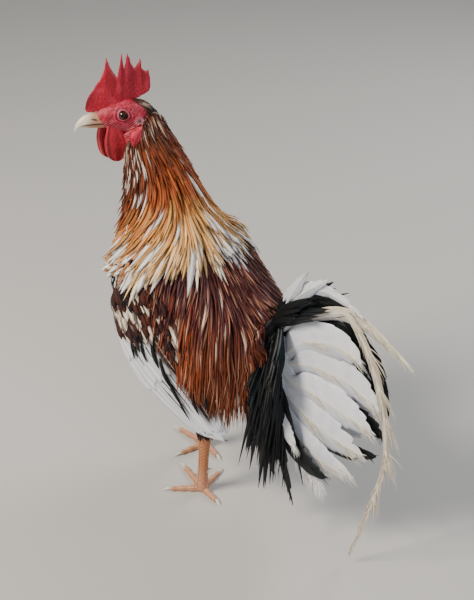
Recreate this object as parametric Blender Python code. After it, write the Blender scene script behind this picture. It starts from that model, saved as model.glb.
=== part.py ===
"""A white hackle gamefowl cock as a still, life-size museum model.

It faces -X with its left side towards -Y, and its head looks back over the left shoulder's front.
Metres, +Z up, the floor at z = 0. The last step moves everything so that the origin lies under the
middle of the bird's bounding box.
"""
import math

import bpy
import numpy as np

# Driving sizes, in metres
MM = 0.001
GAP = 0.3 * MM
ROUND_SIDES = 20
SEED = 7
NECK_END = 2.8
TORSO_START = NECK_END + 0.008
TORSO_END = 11.0
NECK_ROWS = 9
TORSO_ROWS = 15

# Trunk ribs from the head to the tail's root: back x, back z, front x, front z, half-width, shift
# to the right, all in millimetres. The back and the front are the bird's side outline less its coat.
RIBS = MM * np.array([
    (-50, 475, -92, 441, 21, -8),
    (-26, 434, -95, 400, 30, -4),
    (0, 398, -102, 356, 43, -1),
    (26, 370, -115, 307, 58, 0),
    (50, 344, -117, 254, 69, 0),
    (69, 320, -103, 206, 72, 0),
    (84, 301, -68, 168, 71, 0),
    (95, 289, -20, 145, 65, 0),
    (103, 280, 30, 140, 55, 0),
    (108, 274, 68, 158, 43, 0),
    (112, 272, 96, 196, 33, 0),
    (115, 272, 107, 234, 25, 0),
])

# The head's own frame: its middle, the way it faces, and what points up and to its left
HEAD_AT = MM * np.array([-85, -12, 485])
HEAD_TURN = math.radians(229)
HEAD_FORWARD = np.array([math.cos(HEAD_TURN), math.sin(HEAD_TURN), 0.0])
HEAD_UP = np.array([0.0, 0.0, 1.0])
HEAD_LEFT = np.cross(HEAD_UP, HEAD_FORWARD)

EYE_AT = (9, 5, 12)
EYE_RADIUS = 6.3 * MM
# Half-sizes forward, up and outward of the lids' swelling, the ear's patch and its cup
LID_RADII = (9.2, 8.4, 3.4)
LID_OUT = 1.2
EAR_AT = (-10, -5, 15.4)
EAR_RADII = (6.4, 5.2, 2.6)
EAR_CUP = (2.3, 1.9, 2.2)
COMB_THICKNESS = 2.3 * MM

# Legs: where each foot's toes meet, the hock, and where the thigh runs into the trunk
FEET = {"left": (31, -39.5), "right": (-23, 39.5)}
HOCKS = {"left": (38, -41, 97), "right": (-14, 41, 94)}
KNEES = {"left": (-4, -30, 190), "right": (-30, 30, 190)}
TOES = {
    "left": {"outer": (215, 54), "middle": (154, 66), "inner": (93, 52), "rear": (343, 40)},
    "right": {"outer": (118, 52), "middle": (172, 66), "inner": (247, 50), "rear": (338, 42)},
}
SPURS = {"left": (25, 33), "right": (-30, 33)}
SPUR_LENGTH = 11 * MM
SHANK_RADIUS = 6.6 * MM
TOE_RADIUS = 4.3 * MM
CLAW_SHARE = 0.27

# The folded wing seen from the side: its upper and lower edges as x, z and distance from the middle
WING_UPPER = MM * np.array([(-46, 334, 52), (4, 298, 60), (46, 236, 62), (74, 168, 56), (86, 122, 50)])
WING_LOWER = MM * np.array([(-88, 250, 50), (-69, 192, 60), (-36, 153, 64), (8, 126, 62), (46, 109, 57),
                            (83, 112, 50)])
WING_BULGE = 9 * MM
WING_COVER = 12 * MM
SADDLE_COVER = 8.5 * MM

# Hackle rows down the neck: rib, number round the neck, length and width in millimetres
HACKLE_ROWS = [
    (0.3, 9, 44, 13),
    (1.0, 12, 60, 16),
    (1.7, 14, 74, 18),
    (2.4, 17, 86, 20),
]
# Saddle rows down the back: rib, feathers on each side, widest turn in degrees, length and width
SADDLE_ROWS = [
    (3.85, 3, 36, 60, 17),
    (4.6, 4, 52, 88, 17),
    (5.7, 4, 57, 108, 16),
    (7.2, 4, 57, 128, 15),
]
VANE_THICKNESS = 0.6 * MM
# Feathers leave the skin at their roots and rise by this share of their length above it
VANE_LIFT = 0.066
ROOT_DEPTH = 1.6 * MM
ROOT_RISE = 2.6 * MM
ROOT_RUN = 5 * MM
COVER_RUN = 9 * MM
FLOW_STEPS = 20
HANG_FROM = -0.12
SADDLE_WAY = np.array([0.3, 0.0, -1.0])
FLOW_END = TORSO_END - 0.5


def unit(v):
    """Vectors of length one."""
    v = np.asarray(v, float)
    return v / np.linalg.norm(v, axis=-1, keepdims=True)


def smooth_rows(rows, t):
    """Catmull-Rom curve through the rows, read at t, which counts rows from 0."""
    rows = np.asarray(rows, float)
    last = len(rows) - 1
    t = np.clip(np.asarray(t, float), 0, last)
    i = np.minimum(t.astype(int), last - 1)
    f = (t - i)[..., None]
    before, here, there, after = (rows[np.clip(i + k, 0, last)] for k in (-1, 0, 1, 2))
    curve = 2 * here + (there - before) * f
    curve += (2 * before - 5 * here + 4 * there - after) * f ** 2
    curve += (3 * (here - there) + after - before) * f ** 3
    return curve / 2


def body_point(t, turn, height=0.0):
    """A point of the trunk: t counts ribs, turn runs from the back's midline over the left side."""
    t, turn, height = np.broadcast_arrays(t, turn, height)
    rib = smooth_rows(RIBS, t)
    back = rib[..., [0, 5, 1]]
    front = rib[..., [2, 5, 3]]
    middle = (back + front) / 2
    half = np.linalg.norm(back - front, axis=-1) / 2
    up = unit(back - front)
    left = np.array([0.0, -1.0, 0.0])
    rise = (half + height) * np.cos(turn)
    side = (rib[..., 4] + height) * np.sin(turn)
    return middle + up * rise[..., None] + left * side[..., None]


def head_point(forward, up, left=0.0):
    """A point given in the head's frame, in millimetres."""
    return HEAD_AT + MM * (forward * HEAD_FORWARD + up * HEAD_UP + left * HEAD_LEFT)


def outward(vertices, faces):
    """The faces turned so that the closed mesh's volume is positive."""
    a, b, c = (vertices[faces[:, k]] for k in range(3))
    volume = np.einsum("ij,ij->i", a, np.cross(b, c)).sum()
    return faces if volume > 0 else faces[:, ::-1]


def tube(rings):
    """Closed mesh through rings of equal point counts, each end closed by a fan."""
    rings = np.asarray(rings, float)
    n, m = rings.shape[:2]
    ids = np.arange(n * m).reshape(n, m)
    nxt = np.roll(ids, -1, axis=1)
    sides = np.concatenate([
        np.stack([ids[:-1], nxt[:-1], nxt[1:]], -1).reshape(-1, 3),
        np.stack([ids[:-1], nxt[1:], ids[1:]], -1).reshape(-1, 3),
    ])
    first, last = n * m, n * m + 1
    caps = np.concatenate([
        np.stack([np.full(m, first), nxt[0], ids[0]], -1),
        np.stack([np.full(m, last), ids[-1], nxt[-1]], -1),
    ])
    vertices = np.concatenate([rings.reshape(-1, 3), [rings[0].mean(0), rings[-1].mean(0)]])
    faces = np.concatenate([sides, caps])
    return vertices, outward(vertices, faces)


def sheet(top, bottom):
    """Closed thin solid between two grids of points, split into triangles alike on both faces."""
    n, m = top.shape[:2]
    vertices = np.concatenate([top.reshape(-1, 3), bottom.reshape(-1, 3)])
    ids = np.arange(n * m).reshape(n, m)
    a, b, c, d = ids[:-1, :-1], ids[:-1, 1:], ids[1:, 1:], ids[1:, :-1]
    upper = np.concatenate([np.stack([a, b, c], -1), np.stack([a, c, d], -1)]).reshape(-1, 3)
    rim = np.concatenate([ids[0, :-1], ids[:-1, -1], ids[-1, :0:-1], ids[:0:-1, 0]])
    nxt = np.roll(rim, -1)
    walls = np.concatenate([
        np.stack([nxt, rim, rim + n * m], -1),
        np.stack([nxt, rim + n * m, nxt + n * m], -1),
    ])
    faces = np.concatenate([upper, upper[:, ::-1] + n * m, walls])
    return vertices, outward(vertices, faces)


def ring(middle, toward, across, long, wide, sides=12, power=1.0, floor=None):
    """An oval of points; power under 1 squares it, and floor flattens what would lie below it."""
    turn = np.linspace(0, 2 * math.pi, sides, endpoint=False)
    c, s = np.cos(turn), np.sin(turn)
    c = np.sign(c) * np.abs(c) ** power
    s = np.sign(s) * np.abs(s) ** power
    points = np.asarray(middle) + np.outer(c * long, toward) + np.outer(s * wide, across)
    if floor is not None:
        points[:, 2] = np.maximum(points[:, 2], floor)
    return points


def vane(path, normals, widths, thickness, tilt=0.0):
    """A feather as a thin closed strip along a path, its outer face along the normals.

    Tilt turns it about its shaft.
    """
    path = np.asarray(path, float)
    along = unit(np.gradient(path, axis=0))
    across = unit(np.cross(normals, along))
    up = np.cross(along, across)
    turned = across * math.cos(tilt) + up * math.sin(tilt)
    lifted = up * math.cos(tilt) - across * math.sin(tilt)
    half = np.asarray(widths, float)[:, None] / 2
    middle = path[:, None] + turned[:, None] * (half * np.array([-1.0, 1.0]))[..., None]
    rise = lifted[:, None] * thickness / 2
    return sheet(middle + rise, middle - rise)


def blade_widths(width, n, root=0.5, tip=0.14, widest=0.55):
    """Widths along a feather: a narrow root, the widest place, and a tapered tip."""
    s = np.linspace(0, 1, n)
    rise = root + (1 - root) * np.minimum(s / widest, 1) ** 0.8
    fall = np.clip((s - widest) / (1 - widest), 0, 1)
    return width * rise * (1 - (1 - tip) * fall ** 2)


def mesh_object(name, data):
    """A mesh object from vertices and faces."""
    vertices, faces = data
    mesh = bpy.data.meshes.new(name)
    mesh.from_pydata(np.asarray(vertices).tolist(), [], np.asarray(faces).tolist())
    mesh.update()
    made = bpy.data.objects.new(name, mesh)
    bpy.context.scene.collection.objects.link(made)
    return made


def apply_modifiers(body):
    """Replaces the object's mesh with what its modifiers make."""
    graph = bpy.context.evaluated_depsgraph_get()
    made = bpy.data.meshes.new_from_object(body.evaluated_get(graph))
    body.modifiers.clear()
    body.data = made


def keep_largest(body):
    """Drops every closed surface of the mesh but the one with the most volume."""
    mesh = body.data
    mesh.calc_loop_triangles()
    faces = np.zeros(len(mesh.loop_triangles) * 3, int)
    mesh.loop_triangles.foreach_get("vertices", faces)
    faces = faces.reshape(-1, 3)
    points = np.zeros(len(mesh.vertices) * 3)
    mesh.vertices.foreach_get("co", points)
    points = points.reshape(-1, 3)
    group = np.arange(len(points))
    changed = True
    while changed:
        low = group[faces].min(axis=1)
        before = group.copy()
        for k in range(3):
            np.minimum.at(group, faces[:, k], low)
        group = group[group]
        changed = not np.array_equal(before, group)
    labels = group[faces[:, 0]]
    a, b, c = (points[faces[:, k]] for k in range(3))
    volumes = np.einsum("ij,ij->i", a, np.cross(b, c))
    best = max(set(labels.tolist()), key=lambda one: volumes[labels == one].sum())
    kept = faces[labels == best]
    used = np.unique(kept)
    place = np.zeros(len(points), int)
    place[used] = np.arange(len(used))
    cleaned = bpy.data.meshes.new(body.name)
    cleaned.from_pydata(points[used].tolist(), [], place[kept].tolist())
    cleaned.update()
    body.data = cleaned


def combine(body, pieces, operation="UNION", solver="EXACT"):
    """One Boolean of the body with a collection of closed pieces, applied, its pieces removed."""
    group = bpy.data.collections.new("pieces")
    bpy.context.scene.collection.children.link(group)
    for number, data in enumerate(pieces):
        piece = mesh_object(f"piece_{number}", data)
        bpy.context.scene.collection.objects.unlink(piece)
        group.objects.link(piece)
    change = body.modifiers.new("join", "BOOLEAN")
    change.operation = operation
    change.operand_type = "COLLECTION"
    change.collection = group
    change.solver = solver
    apply_modifiers(body)
    for piece in list(group.objects):
        bpy.data.objects.remove(piece)
    bpy.data.collections.remove(group)
    keep_largest(body)


def linear(channel):
    """One sRGB channel, 0 to 1, as linear light."""
    return channel / 12.92 if channel <= 0.04045 else ((channel + 0.055) / 1.055) ** 2.4


def finish(body, colour, roughness):
    """Gives the node a material of its own, from an sRGB hex colour."""
    paint = bpy.data.materials.new(body.name)
    paint.use_nodes = True
    shader = paint.node_tree.nodes["Principled BSDF"]
    channels = [linear(int(colour[k:k + 2], 16) / 255) for k in (0, 2, 4)]
    shader.inputs["Base Color"].default_value = (*channels, 1.0)
    shader.inputs["Roughness"].default_value = roughness
    shader.inputs["Metallic"].default_value = 0.0
    body.data.materials.append(paint)


def ease_in(value, low, high):
    """0 below low, 1 above high, and a smooth step between."""
    share = np.clip((value - low) / (high - low), 0, 1)
    return share * share * (3 - 2 * share)


def wing_cover(t, turn, most):
    """How much higher a feather lies where the folded wing is under it."""
    return most * ease_in(t, 2.8, 3.6) * ease_in(abs(math.sin(turn)), 0.35, 0.75)


def flow_path(t, turn, way, length, points, cover):
    """A path over the trunk from a root, with its outward normals.

    It runs the way given, as nearly as the surface allows, or down the ribs where none is given,
    and ends short of the tail. It leaves the skin at its root and then rises steadily, so that the
    rows lie over one another. Where the flank turns under, it hangs on freely the way given.
    """
    small = 1e-3
    step = length / FLOW_STEPS
    path, normals = [], []
    free = None if way is None else unit(way)
    while len(path) <= FLOW_STEPS and t < FLOW_END:
        if free is not None and path and unit(normals[-1])[2] < HANG_FROM:
            path.append(path[-1] + free * step)
            normals.append(normals[-1])
            continue
        gone = len(path) * step
        height = ROOT_RISE * (1 - math.exp(-gone / ROOT_RUN)) - ROOT_DEPTH + VANE_LIFT * gone
        height += wing_cover(t, turn, cover) * (1 - math.exp(-gone / COVER_RUN))
        path.append(body_point(t, turn, height))
        down = (body_point(t + small, turn) - body_point(t - small, turn)) / (2 * small)
        around = (body_point(t, turn + small) - body_point(t, turn - small)) / (2 * small)
        normals.append(np.cross(around, down))
        basis = np.stack([down, around], 1)
        move = np.array([1.0, 0.0]) if way is None else np.linalg.lstsq(basis, way, rcond=None)[0]
        move = move * step / np.linalg.norm(basis @ move)
        t += move[0]
        turn += move[1]
    along = np.linspace(0, len(path) - 1, points)
    return smooth_rows(path, along), unit(smooth_rows(normals, along))


def trunk(start, end, rows, grow=0.0):
    """The trunk's surface between two ribs, as a closed tube grown by a distance."""
    t = np.linspace(start, end, rows)[:, None]
    turn = np.linspace(0, 2 * math.pi, ROUND_SIDES, endpoint=False)[None]
    return tube(body_point(t, turn, grow))


def make_neck():
    """The neck and its hackle, feather by feather in rows that fall over the shoulders."""
    rng = np.random.default_rng(SEED)
    body = mesh_object("neck", trunk(0.03, NECK_END, NECK_ROWS))
    feathers = []
    for row, (t, number, length, width) in enumerate(HACKLE_ROWS):
        for k in range(number):
            turn = 2 * math.pi * (k + 0.5 * (row % 2)) / number + rng.normal(0, 0.02)
            long = length * MM * rng.uniform(0.92, 1.06)
            path, normals = flow_path(t + rng.normal(0, 0.015), turn, None, long, 5, WING_COVER)
            widths = blade_widths(width * MM, 5, 0.45, 0.12, 0.5)
            feathers.append(vane(path, normals, widths, VANE_THICKNESS, tilt=rng.normal(0, 0.02)))
    combine(body, feathers)
    finish(body, "B5591E", 0.7)


def make_torso():
    """Breast, back, belly and rump, with the saddle feathers that fall over the flanks."""
    rng = np.random.default_rng(SEED + 1)
    body = mesh_object("torso", trunk(TORSO_START, TORSO_END, TORSO_ROWS))
    feathers = []
    for t, number, widest, length, width in SADDLE_ROWS:
        for side in (-1, 1):
            for k in range(number):
                turn = side * math.radians(widest) * (k + 0.5) / (number - 0.5) + rng.normal(0, 0.015)
                long = length * MM * rng.uniform(0.94, 1.05)
                path, normals = flow_path(t, turn, SADDLE_WAY, long, 5, SADDLE_COVER)
                widths = blade_widths(width * MM, 5, 0.4, 0.1, 0.5)
                feathers.append(vane(path, normals, widths, VANE_THICKNESS))
    combine(body, feathers)
    finish(body, "7A2F18", 0.7)


# Head rings: forward and up of the middle, tilt of the ring, half-height and half-width
HEAD_RINGS = [
    (-7, -13, 62, 24, 18),
    (-5, -3, 42, 23, 16),
    (4, 1, 14, 21, 14.6),
    (16, 0.5, 0, 17.5, 13),
    (28, 0, -6, 13.5, 10.5),
    (37, -0.5, -10, 10.5, 8),
    (42, -1, -12, 8, 6),
]


def head_rings(grow=0.0):
    """Rings from the neck's first rib forward through the face to the beak's root."""
    rib = smooth_rows(RIBS, 0.0)
    back = rib[[0, 5, 1]]
    front = rib[[2, 5, 3]]
    up = unit(back - front)
    left = np.array([0.0, -1.0, 0.0])
    lift = np.cross(left, up)
    middle = (back + front) / 2 + lift * 0.2 * MM
    half = np.linalg.norm(back - front) / 2
    rings = [ring(middle, up, left, half + grow, rib[4] + grow, ROUND_SIDES)]
    for forward, height, tilt, tall, wide in HEAD_RINGS:
        lean = math.radians(tilt)
        toward = HEAD_UP * math.cos(lean) - HEAD_FORWARD * math.sin(lean)
        at = head_point(forward, height)
        rings.append(ring(at, toward, HEAD_LEFT, tall * MM + grow, wide * MM + grow, ROUND_SIDES))
    return rings


def ball(middle, radii, axes=None, rows=8, sides=12):
    """An ellipsoid as a closed tube of rings, its poles closed by fans."""
    axes = np.eye(3) if axes is None else np.asarray(axes)
    angles = np.linspace(0, math.pi, rows + 2)[1:-1]
    rings = []
    for angle in angles:
        at = np.asarray(middle) - axes[2] * radii[2] * math.cos(angle)
        rings.append(ring(at, axes[0], axes[1], radii[0] * math.sin(angle), radii[1] * math.sin(angle), sides))
    return tube(rings)


def make_head():
    """Skull and face, with the swollen lids round each eye's socket and the cup of each ear."""
    body = mesh_object("head", tube(head_rings()))
    head_axes = (HEAD_FORWARD, HEAD_UP, HEAD_LEFT)
    swellings, hollows = [], []
    for side in (1, -1):
        for (forward, up, left), radii in ((EYE_AT, LID_RADII), (EAR_AT, EAR_RADII)):
            at = head_point(forward, up, side * (left + LID_OUT * (radii is LID_RADII)))
            swellings.append(ball(at, MM * np.array(radii), head_axes, 4, 10))
        hollows.append(ball(head_point(EYE_AT[0], EYE_AT[1], side * EYE_AT[2]), [EYE_RADIUS + GAP] * 3))
        hollows.append(ball(head_point(EAR_AT[0], EAR_AT[1], side * (EAR_AT[2] + EAR_RADII[2])),
                            MM * np.array(EAR_CUP), head_axes, 4, 8))
    combine(body, swellings)
    combine(body, hollows, "DIFFERENCE")
    finish(body, "C24A5E", 0.6)


def make_eyes():
    """Each eyeball, standing a little out of the face."""
    for side, name in ((1, "left"), (-1, "right")):
        at = head_point(EYE_AT[0], EYE_AT[1], side * EYE_AT[2])
        body = mesh_object(f"eye_{name}", ball(at, [EYE_RADIUS] * 3))
        finish(body, "1E0F0A", 0.15)


def carve_head(body):
    """Cuts the piece clear of the head by the gap that touching nodes keep."""
    combine(body, [tube(head_rings(GAP))], "DIFFERENCE")


# Comb columns from front to rear: forward and up of the foot, forward and up of the top
COMB_COLUMNS = [
    (51, 11, 49.5, 16), (47, 10, 47, 24), (42, 10, 38.5, 36), (36, 10, 31, 46), (32, 10, 26, 57),
    (29, 10, 23.4, 71.2), (25, 11, 19, 58), (20, 12, 12.4, 47), (15, 13, 9, 61), (11, 14, 5.5, 75.5),
    (7, 15, 3.8, 56), (3, 16, 1.5, 64), (0, 17, -1, 75), (-4, 19, -4, 65), (-8, 21, -7.5, 55.5),
    (-12, 22, -11.5, 59.5), (-15, 24, -15.5, 67), (-18, 25, -17, 54), (-20, 26, -21, 51.5),
    (-22, 27, -24.5, 53), (-24, 28, -26, 43), (-24, 28, -26, 33),
]
COMB_SWAY = 1.6
COMB_ROWS = 5


def make_comb():
    """The single comb: a blade over the skull, thick at its foot, drawn up into five points."""
    columns = np.array(COMB_COLUMNS, float)
    rise = np.linspace(0, 1, COMB_ROWS)[None, :, None]
    flat = columns[:, None, :2] * (1 - rise) + columns[:, None, 2:] * rise
    sway = COMB_SWAY * np.sin(flat[..., 0] / 9)
    thick = COMB_THICKNESS / MM * (1 - 0.72 * rise[..., 0]) + 0 * sway
    sides = []
    for side in (1, -1):
        away = (sway + side * thick)[..., None]
        sides.append(HEAD_AT + MM * (flat[..., :1] * HEAD_FORWARD + flat[..., 1:] * HEAD_UP + away * HEAD_LEFT))
    body = mesh_object("comb", sheet(*sides))
    carve_head(body)
    finish(body, "B81C33", 0.45)


def half_ring(middle, toward, across, tall, wide, sides=7):
    """A D-shaped ring: an arch toward one side with a flat base."""
    turn = np.linspace(0, math.pi, sides)
    arch = np.asarray(middle) + np.outer(np.sin(turn) * tall, toward) + np.outer(np.cos(turn) * wide, across)
    inner = np.linspace(-1, 1, 4)[1:-1]
    return np.concatenate([arch, np.asarray(middle) + np.outer(inner * wide, across)])


# Beak stations: forward, the gape line's height, the half's depth and half-width; the nostrils
BEAK_UPPER = [(32, -4, 9.5, 7.6), (42, -4.4, 9.6, 6.6), (50, -4.8, 9.6, 5.4), (57, -6, 7, 4),
              (62.5, -9, 4.6, 2.4), (65, -13, 1.6, 0.8)]
NOSTRIL_AT = (45.5, 0.8, 5.6)
NOSTRIL_RADII = (2.2, 0.9, 1.3)
BEAK_LOWER = [(32, -4, 6.5, 6.6), (42, -4.4, 5.6, 5.4), (51, -5.0, 4.4, 4), (58, -6.8, 2, 2)]


def make_beak():
    """Upper and lower beak, which meet in the line of the mouth."""
    upper = [half_ring(head_point(f, u + 0.15), HEAD_UP, HEAD_LEFT, tall * MM, wide * MM)
             for f, u, tall, wide in BEAK_UPPER]
    lower = [half_ring(head_point(f, u - 0.15), -HEAD_UP, HEAD_LEFT, tall * MM, wide * MM)
             for f, u, tall, wide in BEAK_LOWER]
    for name, rings in (("beak_upper", upper), ("beak_lower", lower)):
        body = mesh_object(name, tube(rings))
        carve_head(body)
        if name == "beak_upper":
            combine(body, [ball(head_point(NOSTRIL_AT[0], NOSTRIL_AT[1], side * NOSTRIL_AT[2]),
                                MM * np.array(NOSTRIL_RADII), (HEAD_FORWARD, HEAD_UP, HEAD_LEFT), 4, 8)
                           for side in (1, -1)], "DIFFERENCE")
        finish(body, "E3D3B4", 0.4)


WATTLE_TOP = -8
WATTLE_DROP = 44
WATTLE_HALF = 13.5
LOBE_AT = (-4, -20)
LOBE_OUT = {"left": 24, "right": 18}
LOBE_RADII = (9.2, 9.6, 3.6)


def make_wattles():
    """The two hanging wattles with their folds, and the two earlobes."""
    for side, name in ((1, "left"), (-1, "right")):
        p = np.linspace(0, 1, 9)[:, None]
        q = np.linspace(-1, 1, 7)[None]
        half = WATTLE_HALF * np.sin(math.pi * (0.14 + 0.80 * p)) ** 0.7
        forward = 21 - 1.5 * p + half * q
        up = WATTLE_TOP - WATTLE_DROP * p - 3 * q * p
        fold = 8 + 1.2 * np.sin(5 * p) + 1.1 * np.sin(5.5 * q + 1) * p
        faces = []
        for face in (1, -1):
            left = side * fold + face * (0.5 + 1.7 * np.sqrt(1 - q ** 2) * (1 - 0.3 * p))
            faces.append(HEAD_AT + MM * (forward[..., None] * HEAD_FORWARD + up[..., None] * HEAD_UP
                                         + left[..., None] * HEAD_LEFT))
        body = mesh_object(f"wattle_{name}", sheet(*faces))
        carve_head(body)
        combine(body, [trunk(0, NECK_END, NECK_ROWS, GAP)], "DIFFERENCE")
        finish(body, "B31A2C", 0.5)
        at = head_point(LOBE_AT[0], LOBE_AT[1], side * LOBE_OUT[name])
        lobe = mesh_object(f"lobe_{name}", ball(at, MM * np.array(LOBE_RADII), (HEAD_FORWARD, HEAD_UP, HEAD_LEFT)))
        carve_head(lobe)
        combine(lobe, [trunk(0, NECK_END, NECK_ROWS, GAP)], "DIFFERENCE")
        finish(lobe, "C23A4C", 0.5)


def trunk_width(x, z):
    """Half-width of the trunk at places seen from the side, 0 where the line of sight misses it."""
    t = np.linspace(NECK_END - 1, TORSO_END, 400)
    rib = smooth_rows(RIBS, t)
    back, front = rib[:, [0, 1]], rib[:, [2, 3]]
    middle = (back + front) / 2
    half = np.linalg.norm(back - front, axis=1) / 2
    up = unit(back - front)
    dx = x[..., None] - middle[:, 0]
    dz = z[..., None] - middle[:, 1]
    reach = (dx * up[:, 0] + dz * up[:, 1]) / half
    off = np.abs(dx * up[:, 1] - dz * up[:, 0]) + 0.02 * (np.abs(reach) > 1)
    best = off.argmin(axis=-1)
    v = np.take_along_axis(reach, best[..., None], -1)[..., 0]
    return rib[best, 4] * np.sqrt(np.clip(1 - v ** 2, 0, 1))


def wing_point(p, q, height, side):
    """A point of the folded wing: p runs from wrist to tip, q from the upper to the lower edge."""
    p, q = np.broadcast_arrays(np.asarray(p, float), np.asarray(q, float))
    upper = smooth_rows(WING_UPPER, p * (len(WING_UPPER) - 1))
    lower = smooth_rows(WING_LOWER, p * (len(WING_LOWER) - 1))
    flat = upper + (lower - upper) * q[..., None]
    own = flat[..., 2] + WING_BULGE * np.sin(math.pi * np.clip(q, 0, 1))
    trunk_side = trunk_width(flat[..., 0], flat[..., 1]) + 1.0 * MM
    out = (own ** 8 + trunk_side ** 8) ** (1 / 8) + height
    return np.stack([flat[..., 0], side * out, flat[..., 1]], -1)


# Wing feather groups: number, start p and q of the lowest and highest, end p and q of the same two,
# how much wider than its place each is, height of the group in millimetres
WING_GROUPS = [
    (8, (0.28, 0.95), (0.40, 0.52), (1.0, 0.93), (0.95, 0.30), 1.25, 1.4),
    (8, (0.24, 0.86), (0.34, 0.12), (0.80, 0.86), (0.93, 0.12), 1.3, 3.2),
    (7, (0.14, 0.89), (0.18, 0.12), (0.42, 0.90), (0.47, 0.10), 1.25, 5.0),
    (6, (0.05, 0.84), (0.06, 0.16), (0.24, 0.86), (0.27, 0.14), 1.25, 6.6),
]
WING_ARM_END = 0.5
WING_ARM = 6.2 * MM
SHINGLE_RISE = 0.55 * MM


def wing_feather(start, end, step, wide, height, side):
    """One feather on the folded wing, its lower edge lying over the next one below."""
    share = np.linspace(0, 1, 4)
    p = (start[0] + (end[0] - start[0]) * share)[:, None]
    middle = (start[1] + (end[1] - start[1]) * share)[:, None]
    spread = (step[0] + (step[1] - step[0]) * share) * wide / 2
    half = blade_widths(1.0, 4, 0.8, 0.35, 0.7) * spread
    edge = np.array([-1.0, 1.0])[None]
    q = middle + edge * half[:, None]
    rise = height * MM + edge * SHINGLE_RISE + 0 * q
    return sheet(wing_point(p, q, rise + VANE_THICKNESS / 2, side),
                 wing_point(p, q, rise - VANE_THICKNESS / 2, side))


def make_wings():
    """The folded wings: the arm, then primaries, secondaries and two rows of coverts."""
    for side, name in ((-1, "left"), (1, "right")):
        p = np.linspace(0, WING_ARM_END, 6)[:, None]
        q = np.linspace(0.03, 0.97, 7)[None]
        thick = WING_ARM * (1 - 1.2 * p) * (0.4 + 0.6 * np.sin(math.pi * q) ** 0.5)
        body = mesh_object(f"wing_{name}", sheet(wing_point(p, q, thick, side), wing_point(p, q, 0, side)))
        feathers = []
        for number, start0, start1, end0, end1, wide, height in WING_GROUPS:
            step = [(one[1] - two[1]) / (number - 1) for one, two in ((start0, start1), (end0, end1))]
            for k in range(number):
                share = k / (number - 1)
                start = np.array(start0) + (np.array(start1) - start0) * share
                end = np.array(end0) + (np.array(end1) - end0) * share
                feathers.append(wing_feather(start, end, step, wide, height, side))
        combine(body, feathers)
        finish(body, "C9CBD2", 0.65)


# Tail feathers: places along the shaft as x, distance to the side and z, in millimetres, and the width.
# The sickles grow once each
SICKLES = [
    ([(123, 3, 267), (122, 4, 297), (130, 6, 319), (157, 7, 341), (184, 9, 346), (211, 12, 338), (229, 14, 330)],
     25),
    ([(123, 4, 264), (125, 5, 284), (137, 6, 304), (169, 7, 319), (204, 8, 320), (250, 13, 266), (274, 18, 190)],
     18),
    ([(123, 6, 261), (144, 7, 281), (191, 10, 310), (226, 13, 316), (265, 18, 304), (307, 25, 285)], 15),
    ([(123, 10, 258), (154, 12, 293), (195, 14, 313), (222, 16, 316), (263, 23, 255), (285, 32, 168),
      (274, 39, 92), (255, 46, 15)], 13),
]
# These grow on both sides: the fan from top to bottom, the hangers, and the coverts over the root
FANNED = [
    ([(123, 5, 254), (179, 12, 275), (244, 24, 271)], 34),
    ([(123, 6, 252), (192, 14, 242), (259, 27, 233)], 38),
    ([(123, 7, 250), (194, 17, 212), (273, 30, 206)], 40),
    ([(123, 7, 248), (198, 19, 182), (277, 33, 168)], 40),
    ([(123, 8, 246), (196, 24, 159), (262, 36, 150)], 38),
    ([(123, 9, 245), (188, 28, 132), (249, 39, 122)], 36),
    ([(123, 9, 244), (173, 28, 130), (216, 42, 83)], 30),
    ([(123, 10, 252), (149, 21, 182), (187, 45, 87)], 15),
    ([(123, 10, 250), (143, 28, 146), (211, 47, 106)], 24),
    ([(123, 11, 252), (131, 21, 175), (177, 50, 54)], 22),
    ([(123, 12, 252), (114, 25, 176), (151, 54, 91)], 24),
    ([(121, 13, 253), (106, 28, 188), (122, 57, 120)], 22),
    ([(119, 10, 262), (124, 26, 236), (128, 33, 196)], 26),
    ([(119, 8, 262), (140, 22, 244), (152, 30, 208)], 26),
]
FAR_SHORTER = 0.84
TAIL_THICKNESS = 0.8 * MM


def make_tail():
    """The tail's root and its feathers."""
    rib = smooth_rows(RIBS, TORSO_END)
    back, front = rib[[0, 5, 1]], rib[[2, 5, 3]]
    up = unit(back - front)
    left = np.array([0.0, -1.0, 0.0])
    rear = np.cross(up, left)
    rear = rear if rear[0] > 0 else -rear
    half = np.linalg.norm(back - front) / 2
    rings = []
    for s, swell in ((0, 1), (0.2, 1.0), (0.5, 0.9), (0.8, 0.6), (1, 0.25)):
        at = (back + front) / 2 + rear * (GAP + 24 * MM * s)
        rings.append(ring(at, up, left, half * swell, rib[4] * 0.9 * swell, 14))
    body = mesh_object("tail", tube(rings))
    feathers = [(rows, -1, 1.0, width) for rows, width in SICKLES + FANNED]
    feathers += [(rows, 1, FAR_SHORTER, width) for rows, width in FANNED]
    pieces = []
    for rows, side, share, width in feathers:
        rows = MM * np.array(rows, float)
        rows = rows[0] + (rows - rows[0]) * share
        rows[:, 1] *= side
        stations = 2 + len(rows)
        path = smooth_rows(rows[:, [0, 1, 2]], np.linspace(0, len(rows) - 1, stations))
        normals = np.tile([0.0, 1.0 * side, 0.0], (stations, 1))
        widths = blade_widths(width * MM, stations, 0.2, 0.2, 0.62)
        pieces.append(vane(path, normals, widths, TAIL_THICKNESS))
    combine(body, pieces)
    finish(body, "D5D8E0", 0.6)


def leg_frame(path, side_way):
    """Directions along a path and the two across it, the first nearest to side_way."""
    along = unit(np.gradient(path, axis=0))
    across = unit(side_way - along * (along @ side_way)[:, None])
    return along, across, np.cross(along, across)


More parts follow.
